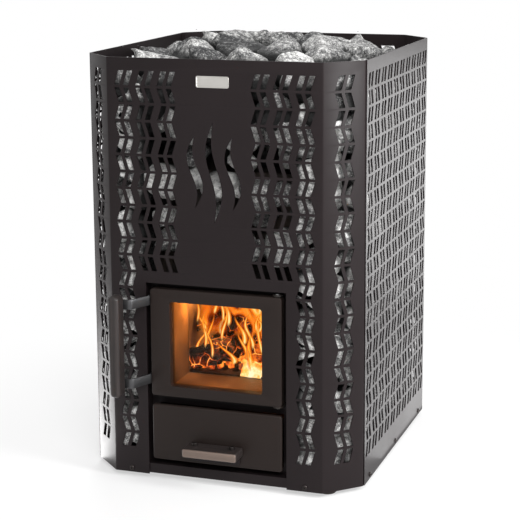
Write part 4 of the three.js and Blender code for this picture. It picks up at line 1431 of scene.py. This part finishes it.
    def _wall(self, node: str, outward: Vector, patterns: Sequence[Object], forms: Sequence[list[Vector]]) -> list[Lump]:
        """The stones that lie against one side of the casing."""
        side = Vector((0, 0, 1)).cross(outward)
        lumps = []
        for along, height, reach in self._wall_rows(node, outward, 0):
            pattern, turn, corners = self._pick(self.draws, patterns, forms)
            depth = reach - self.draws.share() * self.wall_recess
            depth -= max(corner.dot(outward) for corner in corners)
            shift = outward * depth + side * (along + self.draws.shake(self.jitter))
            shift.z = height + self.draws.shake(self.jitter)
            lumps.append(Lump(pattern, self._facing(node) @ Matrix.Translation(shift) @ turn))
        return lumps

    def _wall_fill(self, node: str, outward: Vector, patterns: Sequence[Object], forms: Sequence[list[Vector]]) -> list[Lump]:
        """Smaller stones behind the gaps of a wall."""
        side = Vector((0, 0, 1)).cross(outward)
        lumps = []
        for along, height, reach in self._wall_rows(node, outward, 1):
            for lift in (0.0, self.wall_pitch / 2):
                pattern, turn, corners = self._pick(self.fill_draws, patterns, forms)
                depth = reach - self.fill_inset - max(corner.dot(outward) for corner in corners)
                shift = outward * depth + side * (along + self.fill_draws.shake(self.jitter))
                shift.z = height + lift + self.fill_draws.shake(self.jitter)
                if shift.z < self.bed - self.fill_kind.half_height:
                    lumps.append(Lump(pattern, self._facing(node) @ Matrix.Translation(shift) @ turn))
        return lumps

    def _corner_fill(self, node: str, patterns: Sequence[Object]) -> list[Lump]:
        """Upright rows of smaller stones behind the corner sheets at both ends of a side."""
        low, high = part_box(node)
        side = math.copysign(1.0, low.x + high.x)
        lumps = []
        for end in (-1, 1):
            for height in self._spread(low.z, high.z, self.corner_pitch):
                for across, along in self.corner_insets:
                    pattern = patterns[math.floor(self.fill_draws.share() * self.kinds)]
                    turn = Matrix.Rotation(self.fill_draws.share() * 2 * math.pi, 4, "Z")
                    rise = height + self.fill_draws.shake(self.jitter)
                    place = Vector((side * (self.half_x - across), end * (self.half_y - along), rise))
                    lumps.append(Lump(pattern, Matrix.Translation(place) @ turn))
        return lumps

    @staticmethod
    def _facing(node: str) -> Matrix:
        """The half turn that the left and front heaps have."""
        return Matrix.Rotation(math.pi if node in ("stones_left", "stones_front") else 0.0, 4, "Z")

    def _heap(self, name: str, lumps: Sequence[Lump]) -> None:
        """Copies stones to their places, gives each the attributes for its painted light and painted shade, and joins
        them into one heap.
        """
        outward = self._outward(name)
        stones = []
        for index, lump in enumerate(lumps):
            if name == "rear" and self._flue_distance(lump.place.translation) < self._flue_reach():
                continue
            stone = Bench.copy(lump.pattern, f"stone_{name}_{index}", lump.place)
            reach = [vertex.co.dot(outward) for vertex in stone.data.vertices]
            low, high = min(reach), max(reach)
            # Painted light: stones in front of the firebox, seen through the front slots, get a brighter tone and
            # less painted shade.
            front_lit = name != "top" and lump.place.translation.y < -self.room.y
            light_lift = self.slot_light_lift if front_lit else 0.0
            tone = stone.data.attributes.new(SplitStone.tint, "FLOAT", "POINT")
            tone.data.foreach_set("value", [self.fill_draws.share() + light_lift * 1.4] * len(reach))
            # Painted shade: 0 at the part of each stone that lies lowest or furthest in, 1 at its outer face.
            depth = stone.data.attributes.new(SplitStone.depth, "FLOAT", "POINT")
            depth.data.foreach_set("value", [light_lift + (value - low) / (high - low) for value in reach])
            stones.append(stone)
        piece = Bench.join(f"stone_heap_{name}", stones)
        self._keep_in(piece, f"stones_{name}")
        self.fitter.fit(piece, self.finishes.stone, Body.STOVE, Slot.STONE, f"stones_{name}")

    @staticmethod
    def _outward(name: str) -> Vector:
        """The way that a heap faces."""
        low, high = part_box(f"stones_{name}")
        level = Vector((low.x + high.x, low.y + high.y, 0))
        return Vector((0, 0, 1)) if name == "top" else level.normalized()

    def _flue_reach(self) -> float:
        """The radius round the flue's axis that stones keep clear of."""
        return (self.flue[1].z - self.flue[0].z) / 2 + self.flue_room

    def _flue_distance(self, point: Vector) -> float:
        """How far a point is from the flue's axis."""
        return math.hypot(point.x, point.z - (self.flue[0].z + self.flue[1].z) / 2)

    def _keep_in(self, piece: Object, node: str) -> None:
        """Presses points that stand out back between the casing, the firebox and the flue."""
        low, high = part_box(node)
        axis = (self.flue[0].z + self.flue[1].z) / 2
        reach = self._flue_reach()
        sideways = node in ("stones_left", "stones_right")
        for vertex in piece.data.vertices:
            point = Vector(max(a, min(b, c)) for a, b, c in zip(low, high, vertex.co))
            excess = abs(point.x) + abs(point.y) - self.diagonal
            if excess > 0:
                point.x -= math.copysign(excess / 2, point.x)
                point.y -= math.copysign(excess / 2, point.y)
            if node != "stones_top" and abs(point.x) < self.room.x and abs(point.y) < self.room.y:
                if sideways:
                    point.x = math.copysign(self.room.x, low.x + high.x)
                else:
                    point.y = math.copysign(self.room.y, low.y + high.y)
            away = self._flue_distance(point)
            if node == "stones_rear" and 0 < away < reach:
                point.x *= reach / away
                point.z = axis + (point.z - axis) * reach / away
            vertex.co = point


@dataclass
class Fasteners:
    """Screws, bolts, pins and feet, each modelled once and copied."""

    fitter: Fitter
    finishes: Finishes
    steps: int = 28
    socket_share: float = 0.5

    def build(self) -> None:
        """Makes every fastener."""
        self._screws()
        self._bolts()
        self._pins()
        self._feet()

    def _dome(self, radius: float, height: float, shank: float, length: float) -> Object:
        """A round-headed screw that points down, with a six-sided recess in its head."""
        curve = [
            (radius * math.cos(turn), height * 0.35 + height * 0.65 * math.sin(turn))
            for turn in (math.radians(step * 15) for step in range(6))
        ]
        profile = [(0, -length), (shank, -length), (shank, 0), (radius, 0), *curve, (0, height)]
        return self._with_recess(Bench.turned("screw_pattern", profile, self.steps), radius, height)

    def _with_recess(self, piece: Object, radius: float, top: float) -> Object:
        """Cuts the recess for a key into a head."""
        bpy.ops.mesh.primitive_cylinder_add(vertices=6, radius=radius * self.socket_share, depth=radius)
        cutter = bpy.context.object
        Bench.settle(cutter, Matrix.Translation((0, 0, top + radius * 0.05)))
        return Bench.smooth(Bench.drill(piece, cutter), 30.0)

    def _screws(self) -> None:
        """The casing's screws, with their heads outwards."""
        low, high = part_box("screw_front_1")
        pattern = self._dome((high.x - low.x) / 2, 2.6 * MM, 2.3 * MM, 7 * MM)
        faces = {"front": (0.0, 2), "right": (90.0, 3), "left": (-90.0, 3)}
        for face, (turn, count) in faces.items():
            for number in range(1, count + 1):
                node = f"screw_{face}_{number}"
                place = self._outer_end(node, turn)
                stand = Matrix.Rotation(math.radians(turn), 4, "Z") @ Matrix.Rotation(math.pi / 2, 4, "X")
                twin = Bench.copy(pattern, f"casing_{node}", Matrix.Translation(place) @ stand)
                self.fitter.fit(twin, self.finishes.dark_screw, Body.STOVE, Slot.GREY_STEEL, node)
        Bench.remove(pattern)

    @staticmethod
    def _outer_end(node: str, turn: float) -> Vector:
        """Where the underside of a screw's head sits, on the casing's outer face."""
        low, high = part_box(node)
        place = (low + high) / 2
        head = 2.6 * MM
        if turn == 0.0:
            place.y = low.y + head
        elif turn > 0.0:
            place.x = high.x - head
        else:
            place.x = low.x + head
        return place

    def _bolts(self) -> None:
        """The drawer grip's socket bolts."""
        for side in ("left", "right"):
            node = f"drawer_bolt_{side}"
            low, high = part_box(node)
            radius = (high.x - low.x) / 2
            seat = high.z - radius
            profile = [
                (0, low.z),
                (radius * 0.6, low.z),
                (radius * 0.6, seat),
                (radius, seat),
                (radius, high.z - 0.8 * MM),
                (radius - 0.8 * MM, high.z),
                (0, high.z),
            ]
            bolt = self._with_recess(Bench.turned(f"grip_bolt_{side}", profile, self.steps), radius, high.z)
            Bench.settle(bolt, Matrix.Translation(((low.x + high.x) / 2, (low.y + high.y) / 2, 0)))
            self.fitter.fit(bolt, self.finishes.dark_screw, Body.DRAWER, Slot.GREY_STEEL, node)

    def _pins(self) -> None:
        """The hinge pins, with rounded heads outside the lugs."""
        for end, up in (("upper", 1), ("lower", -1)):
            node = f"hinge_pin_{end}"
            low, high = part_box(node)
            radius = (high.x - low.x) / 2
            length = high.z - low.z
            head = 2 * MM
            crown = [
                (radius * math.cos(math.radians(step)), head * math.sin(math.radians(step)))
                for step in (0, 25, 50, 75)
            ]
            profile = [(0, head - length), (radius * 0.6, head - length), (radius * 0.6, 0), *crown, (0, head)]
            pin = Bench.turned(f"door_pin_{end}", profile, self.steps)
            top = high.z - head if up > 0 else low.z + head
            stand = Matrix.Rotation(0 if up > 0 else math.pi, 4, "X")
            place = Matrix.Translation(((low.x + high.x) / 2, (low.y + high.y) / 2, top))
            Bench.settle(pin, place @ stand)
            self.fitter.fit(pin, self.finishes.steel, Body.STOVE, Slot.GREY_STEEL, node)

    def _feet(self) -> None:
        """The four levelling feet: a disc, a stud and a lock nut."""
        low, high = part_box("foot_front_left")
        radius = (high.x - low.x) / 2
        disc, stud, edge = 7 * MM, 5 * MM, 1.5 * MM
        profile = [
            (0, 0),
            (radius - edge, 0),
            (radius, edge),
            (radius, disc - edge),
            (radius - edge, disc),
            (stud * 1.4, disc),
            (stud, disc + edge),
            (stud, high.z),
            (0, high.z),
        ]
        body = Bench.turned("foot_pattern", profile, self.steps)
        bpy.ops.mesh.primitive_cylinder_add(vertices=6, radius=9.5 * MM, depth=9 * MM)
        nut = Bench.settle(bpy.context.object, Matrix.Translation((0, 0, high.z - 8.5 * MM)))
        Bench.round_edges(nut, 0.8 * MM)
        pattern = Bench.join("foot_pattern", [body, nut])
        for place in ("front_left", "front_right", "rear_left", "rear_right"):
            node = f"foot_{place}"
            low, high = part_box(node)
            spot = Matrix.Translation(((low.x + high.x) / 2, (low.y + high.y) / 2, 0))
            twin = Bench.copy(pattern, f"levelling_{node}", spot)
            self.fitter.fit(twin, self.finishes.dark_steel, Body.STOVE, Slot.DARK_STEEL, node)
        Bench.remove(pattern)


@dataclass
class Door:
    """The glazed door with its bent bars and wooden grip."""

    fitter: Fitter
    finishes: Finishes
    corner: float = 5 * MM
    window_corner: float = 5 * MM
    glass_lap: float = 5 * MM
    rebate: float = 8 * MM
    rebate_play: float = 0.3 * MM
    edge: float = 2.4 * MM
    bar: float = 4 * MM
    bar_bend: float = 7 * MM
    grip_round: float = 7 * MM

    def build(self) -> None:
        """Makes the door's leaf, bars, grip and hinge lugs and dresses the rest."""
        self._leaf()
        self._bars()
        self._grip()
        self._lugs()
        self.fitter.dress(self.finishes.glass, "door_glass")
        self.fitter.dress(self.finishes.dark_steel, "glass_retainer")
        self.fitter.dress(self.finishes.rope, "door_seal")

    def _leaf(self) -> None:
        """The leaf: a front plate with rounded edges on a back plate with the glass rebate."""
        low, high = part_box("door_frame")
        glass_low, glass_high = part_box("door_glass")
        outer = Draw.rectangle((low.x, low.z), (high.x, high.z), self.corner)
        lap = self.glass_lap
        window = Draw.rectangle(
            (glass_low.x + lap, glass_low.z + lap), (glass_high.x - lap, glass_high.z - lap), self.window_corner
        )
        play = self.rebate_play
        seat = Draw.rectangle((glass_low.x - play, glass_low.z - play), (glass_high.x + play, glass_high.z + play))
        step = high.y - self.rebate
        front = Bench.flat("door_leaf", [outer, window], (low.y, step))
        Bench.round_edges(front, self.edge, 3)
        back = Bench.flat("door_back", [outer, seat], (step, high.y))
        Bench.round_edges(back, 0.8 * MM)
        leaf = Bench.join("door_leaf", [front, back])
        self.fitter.fit(leaf, self.finishes.door_paint, Body.DOOR, Slot.PAINT, "door_frame")

    def _bars(self) -> None:
        """The two bent flat bars that carry the grip."""
        for end in ("lower", "upper"):
            node = f"handle_bar_{end}"
            low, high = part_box(node)
            half = self.bar / 2
            root = high.x - half
            line = [
                (root, high.y),
                (root, high.y - 20 * MM),
                (root - 18.5 * MM, low.y + half),
                (low.x, low.y + half),
            ]
            loop = Draw.strip(line, self.bar, self.bar_bend)
            bar = Bench.flat(f"grip_bar_{end}", [loop], (low.z, high.z), Plane.PLAN)
            Bench.round_edges(bar, 0.7 * MM)
            self.fitter.fit(bar, self.finishes.bar_steel, Body.DOOR, Slot.GREY_STEEL, node)

    def _grip(self) -> None:
        """The upright wooden grip."""
        low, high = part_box("handle_grip")
        grip = Bench.block("door_grip", low, high)
        Bench.round_edges(grip, self.grip_round, 5)
        self.fitter.fit(grip, self.finishes.grip_wood, Body.DOOR, Slot.WOOD, "handle_grip")

    def _lugs(self) -> None:
        """The hinge lugs on the frame."""
        for end in ("upper", "lower"):
            node = f"hinge_lug_{end}"
            low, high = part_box(node)
            middle = (low.x + high.x) / 2
            radius = (high.x - low.x) / 2
            nose = low.y + radius
            arc = [
                (middle + radius * math.cos(turn), nose - radius * math.sin(turn))
                for turn in (math.pi * step / 12 for step in range(13))
            ]
            loop = [(low.x, high.y), (high.x, high.y), *arc]
            lug = Bench.flat(f"door_lug_{end}", [loop], (low.z, high.z), Plane.PLAN)
            Bench.round_edges(lug, 0.6 * MM)
            self.fitter.fit(lug, self.finishes.dark_steel, Body.STOVE, Slot.DARK_STEEL, node)


@dataclass
class Drawer:
    """The ash drawer's front, angle and grip."""

    fitter: Fitter
    finishes: Finishes
    corner: float = 5 * MM
    edge: float = 2.6 * MM
    angle: float = 3 * MM
    angle_bend: float = 4.5 * MM
    grip_round: float = 3.5 * MM

    def build(self) -> None:
        """Makes the drawer's visible pieces and dresses the tray."""
        low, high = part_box("drawer_front")
        loop = Draw.rectangle((low.x, low.z), (high.x, high.z), self.corner)
        front = Bench.flat("drawer_face", [loop], (low.y, high.y))
        Bench.round_edges(front, self.edge, 3)
        self.fitter.fit(front, self.finishes.door_paint, Body.DRAWER, Slot.PAINT, "drawer_front")
        self._angle()
        low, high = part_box("drawer_grip")
        grip = Bench.block("drawer_handle", low, high)
        Bench.round_edges(grip, self.grip_round, 4)
        self.fitter.fit(grip, self.finishes.drawer_wood, Body.DRAWER, Slot.WOOD, "drawer_grip")
        self.fitter.dress(self.finishes.dark_steel, "ash_tray")

    def _angle(self) -> None:
        """The bent steel angle under the grip."""
        low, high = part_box("drawer_angle")
        half = self.angle / 2
        line = [(high.y - half, low.z), (high.y - half, high.z - half), (low.y, high.z - half)]
        loop = Draw.strip(line, self.angle, self.angle_bend)
        angle = Bench.flat("drawer_bracket", [loop], (low.x, high.x), Plane.SIDE)
        Bench.round_edges(angle, 0.6 * MM)
        self.fitter.fit(angle, self.finishes.paint, Body.DRAWER, Slot.GREY_STEEL, "drawer_angle")


@dataclass
class Firebox:
    """The welded box, its lining and the flue, and the plain plate on the casing."""

    fitter: Fitter
    finishes: Finishes
    flue_wall: float = 3 * MM
    flange_thick: float = 4 * MM
    plate_corner: float = 3 * MM
    plate_border: float = 1.6 * MM

    def build(self) -> None:
        """Makes the flue and the plate and dresses the plates that keep their CAD shape."""
        self._flue()
        self._plate()
        finishes = self.finishes
        dress = self.fitter.dress
        dress(finishes.dark_steel, "firebox_shell", "firebox_lid", "ash_duct", "hearth_plate", "baffle_plate")
        dress(finishes.throat_steel, "throat")
        dress(finishes.paint, "base_tray", "front_frame")
        dress(finishes.cast_iron, "grate")
        dress(finishes.brick, "firebrick_left", "firebrick_right", "firebrick_rear")

    def _flue(self) -> None:
        """The flue spigot: a tube with a rolled end and a flange on the firebox."""
        low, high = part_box("flue_spigot")
        flange = (high.x - low.x) / 2
        radius = Casing._flue_radius()
        bore = radius - self.flue_wall
        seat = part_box("firebox_shell")[1].y + 0.3 * MM
        lip = 1.2 * MM
        profile = [
            (bore, low.y),
            (radius, low.y),
            (radius, seat),
            (flange, seat),
            (flange, seat + self.flange_thick),
            (radius, seat + self.flange_thick),
            (radius, high.y - lip),
            (radius - lip, high.y),
            (bore + lip, high.y),
            (bore, high.y - lip),
            (bore, low.y),
        ]
        flue = Bench.turned("flue_tube", profile, 72)
        middle = (low.z + high.z) / 2
        Bench.settle(flue, Matrix.Translation((0, 0, middle)) @ Matrix.Rotation(-math.pi / 2, 4, "X"))
        self.fitter.fit(flue, self.finishes.dark_steel, Body.STOVE, Slot.DARK_STEEL, "flue_spigot")

    def _plate(self) -> None:
        """The plain metal plate under the rim, with a raised border."""
        low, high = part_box("blank_plate")
        loop = Draw.rectangle((low.x, low.z), (high.x, high.z), self.plate_corner)
        plate = Bench.flat("rim_plate", [loop], (low.y, high.y))
        with Bench.editing(plate):
            bpy.ops.mesh.select_all(action="SELECT")
            bpy.ops.mesh.dissolve_limited(angle_limit=math.radians(0.5))
        Bench.select_faces(plate, lambda face: face.normal.y < -0.9)
        with Bench.editing(plate, "FACE"):
            bpy.ops.mesh.inset(thickness=self.plate_border)
            bpy.ops.mesh.inset(thickness=0.4 * MM, depth=-0.5 * MM)
        self.fitter.fit(plate, self.finishes.plate, Body.STOVE, Slot.PLATE, "blank_plate")


@dataclass
class Fire:
    """Burning logs on embers, with tongues and sheets of flame."""

    fitter: Fitter
    finishes: Finishes
    seed: int = 5
    log_rough: float = 7 * MM
    log_voxel: float = 4 * MM
    coals: int = 90
    coal_range: Point = (14 * MM, 30 * MM)
    brand_size: Vector = field(default_factory=lambda: Vector((42, 17, 33)) * MM)
    brand_lean: float = 9.0
    split_size: Vector = field(default_factory=lambda: Vector((66, 16, 44)) * MM)
    split_lean: float = -17.0
    front_tongues: int = 11
    rear_tongues: int = 13
    tongue_rows: int = 18
    clear: float = 4 * MM
    curtain_height: float = 128 * MM
    curtain_steps: int = 24

    def __post_init__(self) -> None:
        """Takes the fire's room from the frame."""
        self.random = random.Random(self.seed)
        self.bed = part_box("ember_bed")
        self.log_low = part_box("log_left")[0]
        self.log_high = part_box("log_right")[1]
        self.top_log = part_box("log_top")
        self.throat_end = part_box("throat")[1].y
        self.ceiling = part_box("baffle_plate")[0].z - 12 * MM

    def build(self) -> None:
        """Makes the logs, the embers and the flames."""
        self._log("left", self.finishes.log)
        self._log("right", self.finishes.hot_log)
        self._log("top", self.finishes.log)
        self._brand("glowing_brand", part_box("log_right")[0].x, self.brand_size, self.brand_lean, self.finishes.hot_coal)
        self._brand("charred_brand", self.log_low.x, self.split_size, self.split_lean, self.finishes.hot_log)
        self._embers()
        self._tongues()
        self._curtains()

    def _roughen(self, piece: Object, strength: float, inwards: float) -> Object:
        """Gives a piece of wood a broken surface.

        Args:
            piece: The piece, closed and merged.
            strength: How far its surface is moved.
            inwards: The share of that which goes inwards.

        Returns:
            The same piece.
        """
        Bench.modify(piece, "REMESH", mode="VOXEL", voxel_size=self.log_voxel)
        for pattern, scale, share in (("CLOUDS", 36 * MM, 0.7), ("VORONOI", 15 * MM, 0.6)):
            texture = bpy.data.textures.new("bark", pattern)
            texture.noise_scale = scale
            Bench.modify(piece, "DISPLACE", texture=texture, strength=strength * share, mid_level=inwards)
        return Bench.smooth(piece, 40.0)

    def _log(self, name: str, finish: Material) -> None:
        """One split log, half round, with rough bark and broken ends."""
        node = f"log_{name}"
        low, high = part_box(node)
        piece = Bench.copy(self.fitter.nodes[node], f"split_{node}", Matrix.Identity(4))
        piece.parent = None
        self._roughen(Bench.clean(piece, 0.1 * MM), self.log_rough, 0.85)
        for vertex in piece.data.vertices:
            vertex.co = Vector(max(a, min(b, c)) for a, b, c in zip(low, high, vertex.co))
        self.fitter.fit(piece, finish, Body.STOVE, Slot.FIRE_WOOD, node)

    def _brand(self, name: str, left: float, size: Vector, lean: float, finish: Material) -> None:
        """A broken end of wood that leans on the grate before the logs.

        Args:
            name: Its name.
            left: Where it begins across the fire.
            size: Its width, depth and height.
            lean: How far it leans, in degrees.
            finish: Its material.
        """
        low = Vector((left, self.log_low.y - self.clear / 2 - size.y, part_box("grate")[1].z))
        piece = Bench.block(name, low, low + size)
        pivot = Matrix.Translation(low)
        Bench.settle(piece, pivot @ Matrix.Rotation(math.radians(lean), 4, "Y") @ pivot.inverted())
        self._roughen(piece, self.log_rough, 0.7)
        for vertex in piece.data.vertices:
            vertex.co.z = max(vertex.co.z, low.z)
        self.fitter.fit(piece, finish, Body.STOVE, Slot.EMBER)

    def _embers(self) -> None:
        """A bed of small coals."""
        low, high = self.bed
        bpy.ops.mesh.primitive_ico_sphere_add(subdivisions=1, radius=0.5)
        pattern = bpy.context.object
        coals = []
        for index in range(self.coals):
            size = self.random.uniform(*self.coal_range)
            spread = Vector((self.random.uniform(-1, 1), self.random.uniform(-1, 1)))
            middle = (low + high) / 2
            reach = (high - low) / 2 - Vector((size, size, 0)) / 2
            place = Vector((middle.x + spread.x * reach.x, middle.y + spread.y * reach.y, low.z + size * 0.3))
            turn = Euler([self.random.uniform(0, 6.28) for _ in range(3)]).to_matrix().to_4x4()
            shape = Matrix.Diagonal((size, size * 0.8, size * 0.65, 1))
            coals.append(Bench.copy(pattern, f"coal_{index}", Matrix.Translation(place) @ turn @ shape))
        Bench.remove(pattern)
        bed = Bench.join("coal_bed", coals)
        for vertex in bed.data.vertices:
            vertex.co.z = max(low.z, min(high.z, vertex.co.z))
        self.fitter.fit(bed, self.finishes.coal, Body.STOVE, Slot.EMBER, "ember_bed")

    def _tongues(self) -> None:
        """Tongues of flame before the log ends and over the logs."""
        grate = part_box("grate")[1].z
        before = (self.throat_end + self.clear, self.log_low.y - self.clear)
        over = (self.log_low.y + self.clear, self.top_log[0].y - self.clear)
        places = [(before, grate + self.clear, self.log_high.z)] * self.front_tongues
        places += [(over, self.log_high.z - self.clear, self.top_log[1].z)] * self.rear_tongues
        tongues = []
        for index, (depth, low, high) in enumerate(places):
            width = self.random.uniform(9, 17) * MM * (2.0 if index % 4 == 0 else 1.0)
            foot = Vector((
                self.random.uniform(self.log_low.x, self.log_high.x),
                self.random.uniform(*depth),
                self.random.uniform(low, high),
            ))
            height = min(self.random.uniform(38, 95) * MM, self.ceiling - foot.z)
            tongues.append(self._tongue(f"tongue_{index}", foot, width, height))
        piece = Bench.join("flames", tongues)
        self.fitter.fit(piece, self.finishes.flame, Body.STOVE, Slot.EMBER)

    def _tongue(self, name: str, foot: Vector, width: float, height: float) -> Object:
        """One flame: a wavy upright ribbon that swells and tapers."""
        bpy.ops.mesh.primitive_grid_add(x_subdivisions=4, y_subdivisions=self.tongue_rows, size=1)
        piece = bpy.context.object
        piece.name = name
        phase = self.random.uniform(0, 6.28)
        waves = self.random.uniform(0.5, 1.0)
        sway = self.random.uniform(0.4, 1.0) * width + self.random.uniform(4, 12) * MM
        lean = self.random.uniform(-0.22, 0.22) * height
        yaw = math.radians(self.random.uniform(0, 38))
        for vertex in piece.data.vertices:
            across, rise = vertex.co.x, vertex.co.y + 0.5
            swell = width * math.sin(math.pi * min(rise ** 0.55, 1.0)) ** 0.7 if 0 < rise < 1 else 0.0
            bend = sway * rise * math.sin(phase + 2 * math.pi * waves * rise) + lean * rise * rise
            side = across * swell + bend
            vertex.co = foot + Vector((side * math.cos(yaw), across * swell * math.sin(yaw), rise * height))
        return Bench.smooth(piece, 180.0)

    def _curtains(self) -> None:
        """Sheets of fire between the log ends and the top log, and behind it."""
        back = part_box("firebrick_rear")[0].y
        rows = [
            (self.top_log[0].y - self.clear * 2, self.log_high.z),
            (self.top_log[1].y + self.clear * 4, self.log_high.z),
            (back - self.clear * 8, self.bed[1].z),
        ]
        sheets = []
        for index, (depth, foot) in enumerate(rows):
            bpy.ops.mesh.primitive_grid_add(x_subdivisions=self.curtain_steps, y_subdivisions=6, size=1)
            sheet = bpy.context.object
            sheet.name = f"curtain_{index}"
            height = min(self.curtain_height, self.ceiling - foot)
            half = self.log_high.x
            for vertex in sheet.data.vertices:
                wave = math.sin(vertex.co.x * 9 + index * 2.0) + math.sin(vertex.co.y * 5 + index)
                rise = foot + (vertex.co.y + 0.5) * height
                vertex.co = Vector((vertex.co.x * 2 * half, depth + wave * self.clear / 2, rise))
            sheets.append(Bench.smooth(sheet, 180.0))
        piece = Bench.join("flame_sheets", sheets)
        self.fitter.fit(piece, self.finishes.haze, Body.STOVE, Slot.EMBER)


@dataclass
class Studio:
    """The camera, a pale floor and soft light."""

    azimuth: float = 18.796
    elevation: float = 11.014
    roll: float = -0.348
    distance: float = 3.0254
    lens: float = 109.4
    shift: float = -0.10
    target: Vector = field(default_factory=lambda: Vector((-0.01371, 0.0, 0.45572)))
    floor_side: float = 60.0
    floor_tone: Colour = (0.86, 0.86, 0.86)
    floor_glow: float = 0.55
    sky: float = 0.36

    def build(self) -> None:
        """Sets up the view, the floor, the world and the lamps."""
        bpy.context.scene.view_settings.view_transform = "Standard"
        self._camera()
        self._floor()
        self._world()
        middle = Vector((0.0, 0.0, 0.45))
        right_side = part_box("casing_right")[1]
        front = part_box("casing_front")[0]
        corner = Vector((right_side.x - 30 * MM, front.y + 30 * MM, 0.70))
        self._softbox("key_box", Vector((1.0, -2.4, 2.0)), middle, (1.1, 1.1), 56.0)
        self._softbox("high_box", Vector((2.2, -0.6, 2.3)), middle, (1.2, 1.2), 18.0)
        self._softbox("top_box", Vector((-0.4, 0.7, 2.5)), middle, (0.7, 0.7), 30.0)
        self._softbox("side_strip", Vector((0.66, 1.12, 0.32)), Vector((right_side.x, 0.0, 0.30)), (0.55, 0.62), 4.2)
        self._softbox("side_floor", Vector((0.43, 0.50, 0.010)), Vector((0.43, 0.51, 1.0)), (0.34, 1.2), 2.6)
        self._softbox("corner_strip", Vector((1.36, -0.56, 0.84)), corner, (0.4, 0.6), 22.0)
        self._softbox("left_floor", Vector((-0.67, -0.13, 0.010)), Vector((-0.66, -0.134, 1.0)), (0.34, 0.84), 8.0)
        self._glow("fire_glow", Vector((0.0, -0.02, 0.335)), 2.0, 50 * MM)
        self._glow("log_glow", Vector((0.02, -0.180, 0.262)), 0.35, 10 * MM)
        self._glow("throat_glow", Vector((-0.042, -0.205, 0.326)), 3.4, 8 * MM)

    def _camera(self) -> None:
        """The camera at the photograph's place."""
        azimuth, elevation = math.radians(self.azimuth), math.radians(self.elevation)
        level = math.cos(elevation)
        back = Vector((math.sin(azimuth) * level, -math.cos(azimuth) * level, math.sin(elevation)))
        data = bpy.data.cameras.new("camera")
        data.lens = self.lens
        data.shift_y = self.shift
        camera = bpy.data.objects.new("camera", data)
        bpy.context.scene.collection.objects.link(camera)
        camera.location = self.target + back * self.distance
        camera.rotation_mode = "QUATERNION"
        roll = Quaternion((0, 0, 1), math.radians(self.roll))
        camera.rotation_quaternion = back.to_track_quat("Z", "Y") @ roll
        bpy.context.scene.camera = camera

    @staticmethod
    def _seen(graph: Graph) -> Wire:
        """Whether the camera sees a surface, straight, mirrored or through glass."""
        straight = graph.node("ShaderNodeLightPath", output="Is Camera Ray")
        outputs = straight.socket.node.outputs
        mirrored = Wire(graph, outputs["Is Glossy Ray"])
        through = Wire(graph, outputs["Is Transmission Ray"])
        return (straight + mirrored + through).between(0.0, 1.0)

    def _floor(self) -> None:
        """A pale floor that is white further off and keeps the shadow near the stove."""
        bpy.ops.mesh.primitive_plane_add(size=self.floor_side)
        floor = bpy.context.object
        floor.name = "floor"
        material = bpy.data.materials.new("floor")
        material.use_nodes = True
        graph = Graph(material.node_tree)
        distance = graph.node("ShaderNodeVectorMath", {"operation": "LENGTH"}, {0: graph.objects()}, "Value")
        matt = graph.node("ShaderNodeBsdfDiffuse", None, {"Color": (*self.floor_tone, 1)})
        white = graph.node("ShaderNodeEmission", None, {"Color": (1, 1, 1, 1), "Strength": 1.0})
        share = self._seen(graph) * (distance.between(0.30, 0.95) * (1.0 - self.floor_glow) + self.floor_glow)
        graph.surface(graph.node("ShaderNodeMixShader", None, {0: share, 1: matt, 2: white}))
        floor.data.materials.append(material)

    def _world(self) -> None:
        """White surroundings that light the stove softly."""
        world = bpy.data.worlds.new("studio")
        world.use_nodes = True
        graph = Graph(world.node_tree)
        strength = self._seen(graph) * (1.0 - self.sky) + self.sky
        light = graph.node("ShaderNodeBackground", None, {"Color": (1, 1, 1, 1), "Strength": strength})
        graph.node("ShaderNodeOutputWorld", None, {"Surface": light})
        bpy.context.scene.world = world

    @staticmethod
    def _softbox(name: str, place: Vector, aim: Vector, size: Point, power: float) -> None:
        """A rectangular lamp that faces a point of the stove.

        Args:
            name: The lamp's name.
            place: Where it stands.
            aim: What it faces.
            size: Its width and height.
            power: Its power in watts.
        """
        data = bpy.data.lights.new(name, "AREA")
        data.shape = "RECTANGLE"
        data.size, data.size_y = size
        data.energy = power
        lamp = bpy.data.objects.new(name, data)
        bpy.context.scene.collection.objects.link(lamp)
        lamp.location = place
        lamp.rotation_mode = "QUATERNION"
        lamp.rotation_quaternion = (place - aim).to_track_quat("Z", "Y")
        lamp.visible_camera = False

    @staticmethod
    def _glow(name: str, place: Vector, power: float, radius: float) -> None:
        """The light that the fire throws on its surroundings."""
        data = bpy.data.lights.new(name, "POINT")
        data.energy = power
        data.color = (1.0, 0.42, 0.10)
        data.shadow_soft_size = radius
        lamp = bpy.data.objects.new(name, data)
        bpy.context.scene.collection.objects.link(lamp)
        lamp.location = place
        lamp.visible_camera = False
        lamp.visible_transmission = False
        lamp.visible_glossy = False


def main() -> None:
    """Builds the stove's looks around the frame."""
    logging.basicConfig(level=logging.INFO, format="%(name)s %(message)s")
    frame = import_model()
    finishes = Finishes()
    fitter = Fitter(frame["nodes"])
    Studio().build()
    for maker in (Casing, Stones, Firebox, Fire, Door, Drawer, Fasteners):
        maker(fitter, finishes).build()


if __name__ == "__main__":
    main()
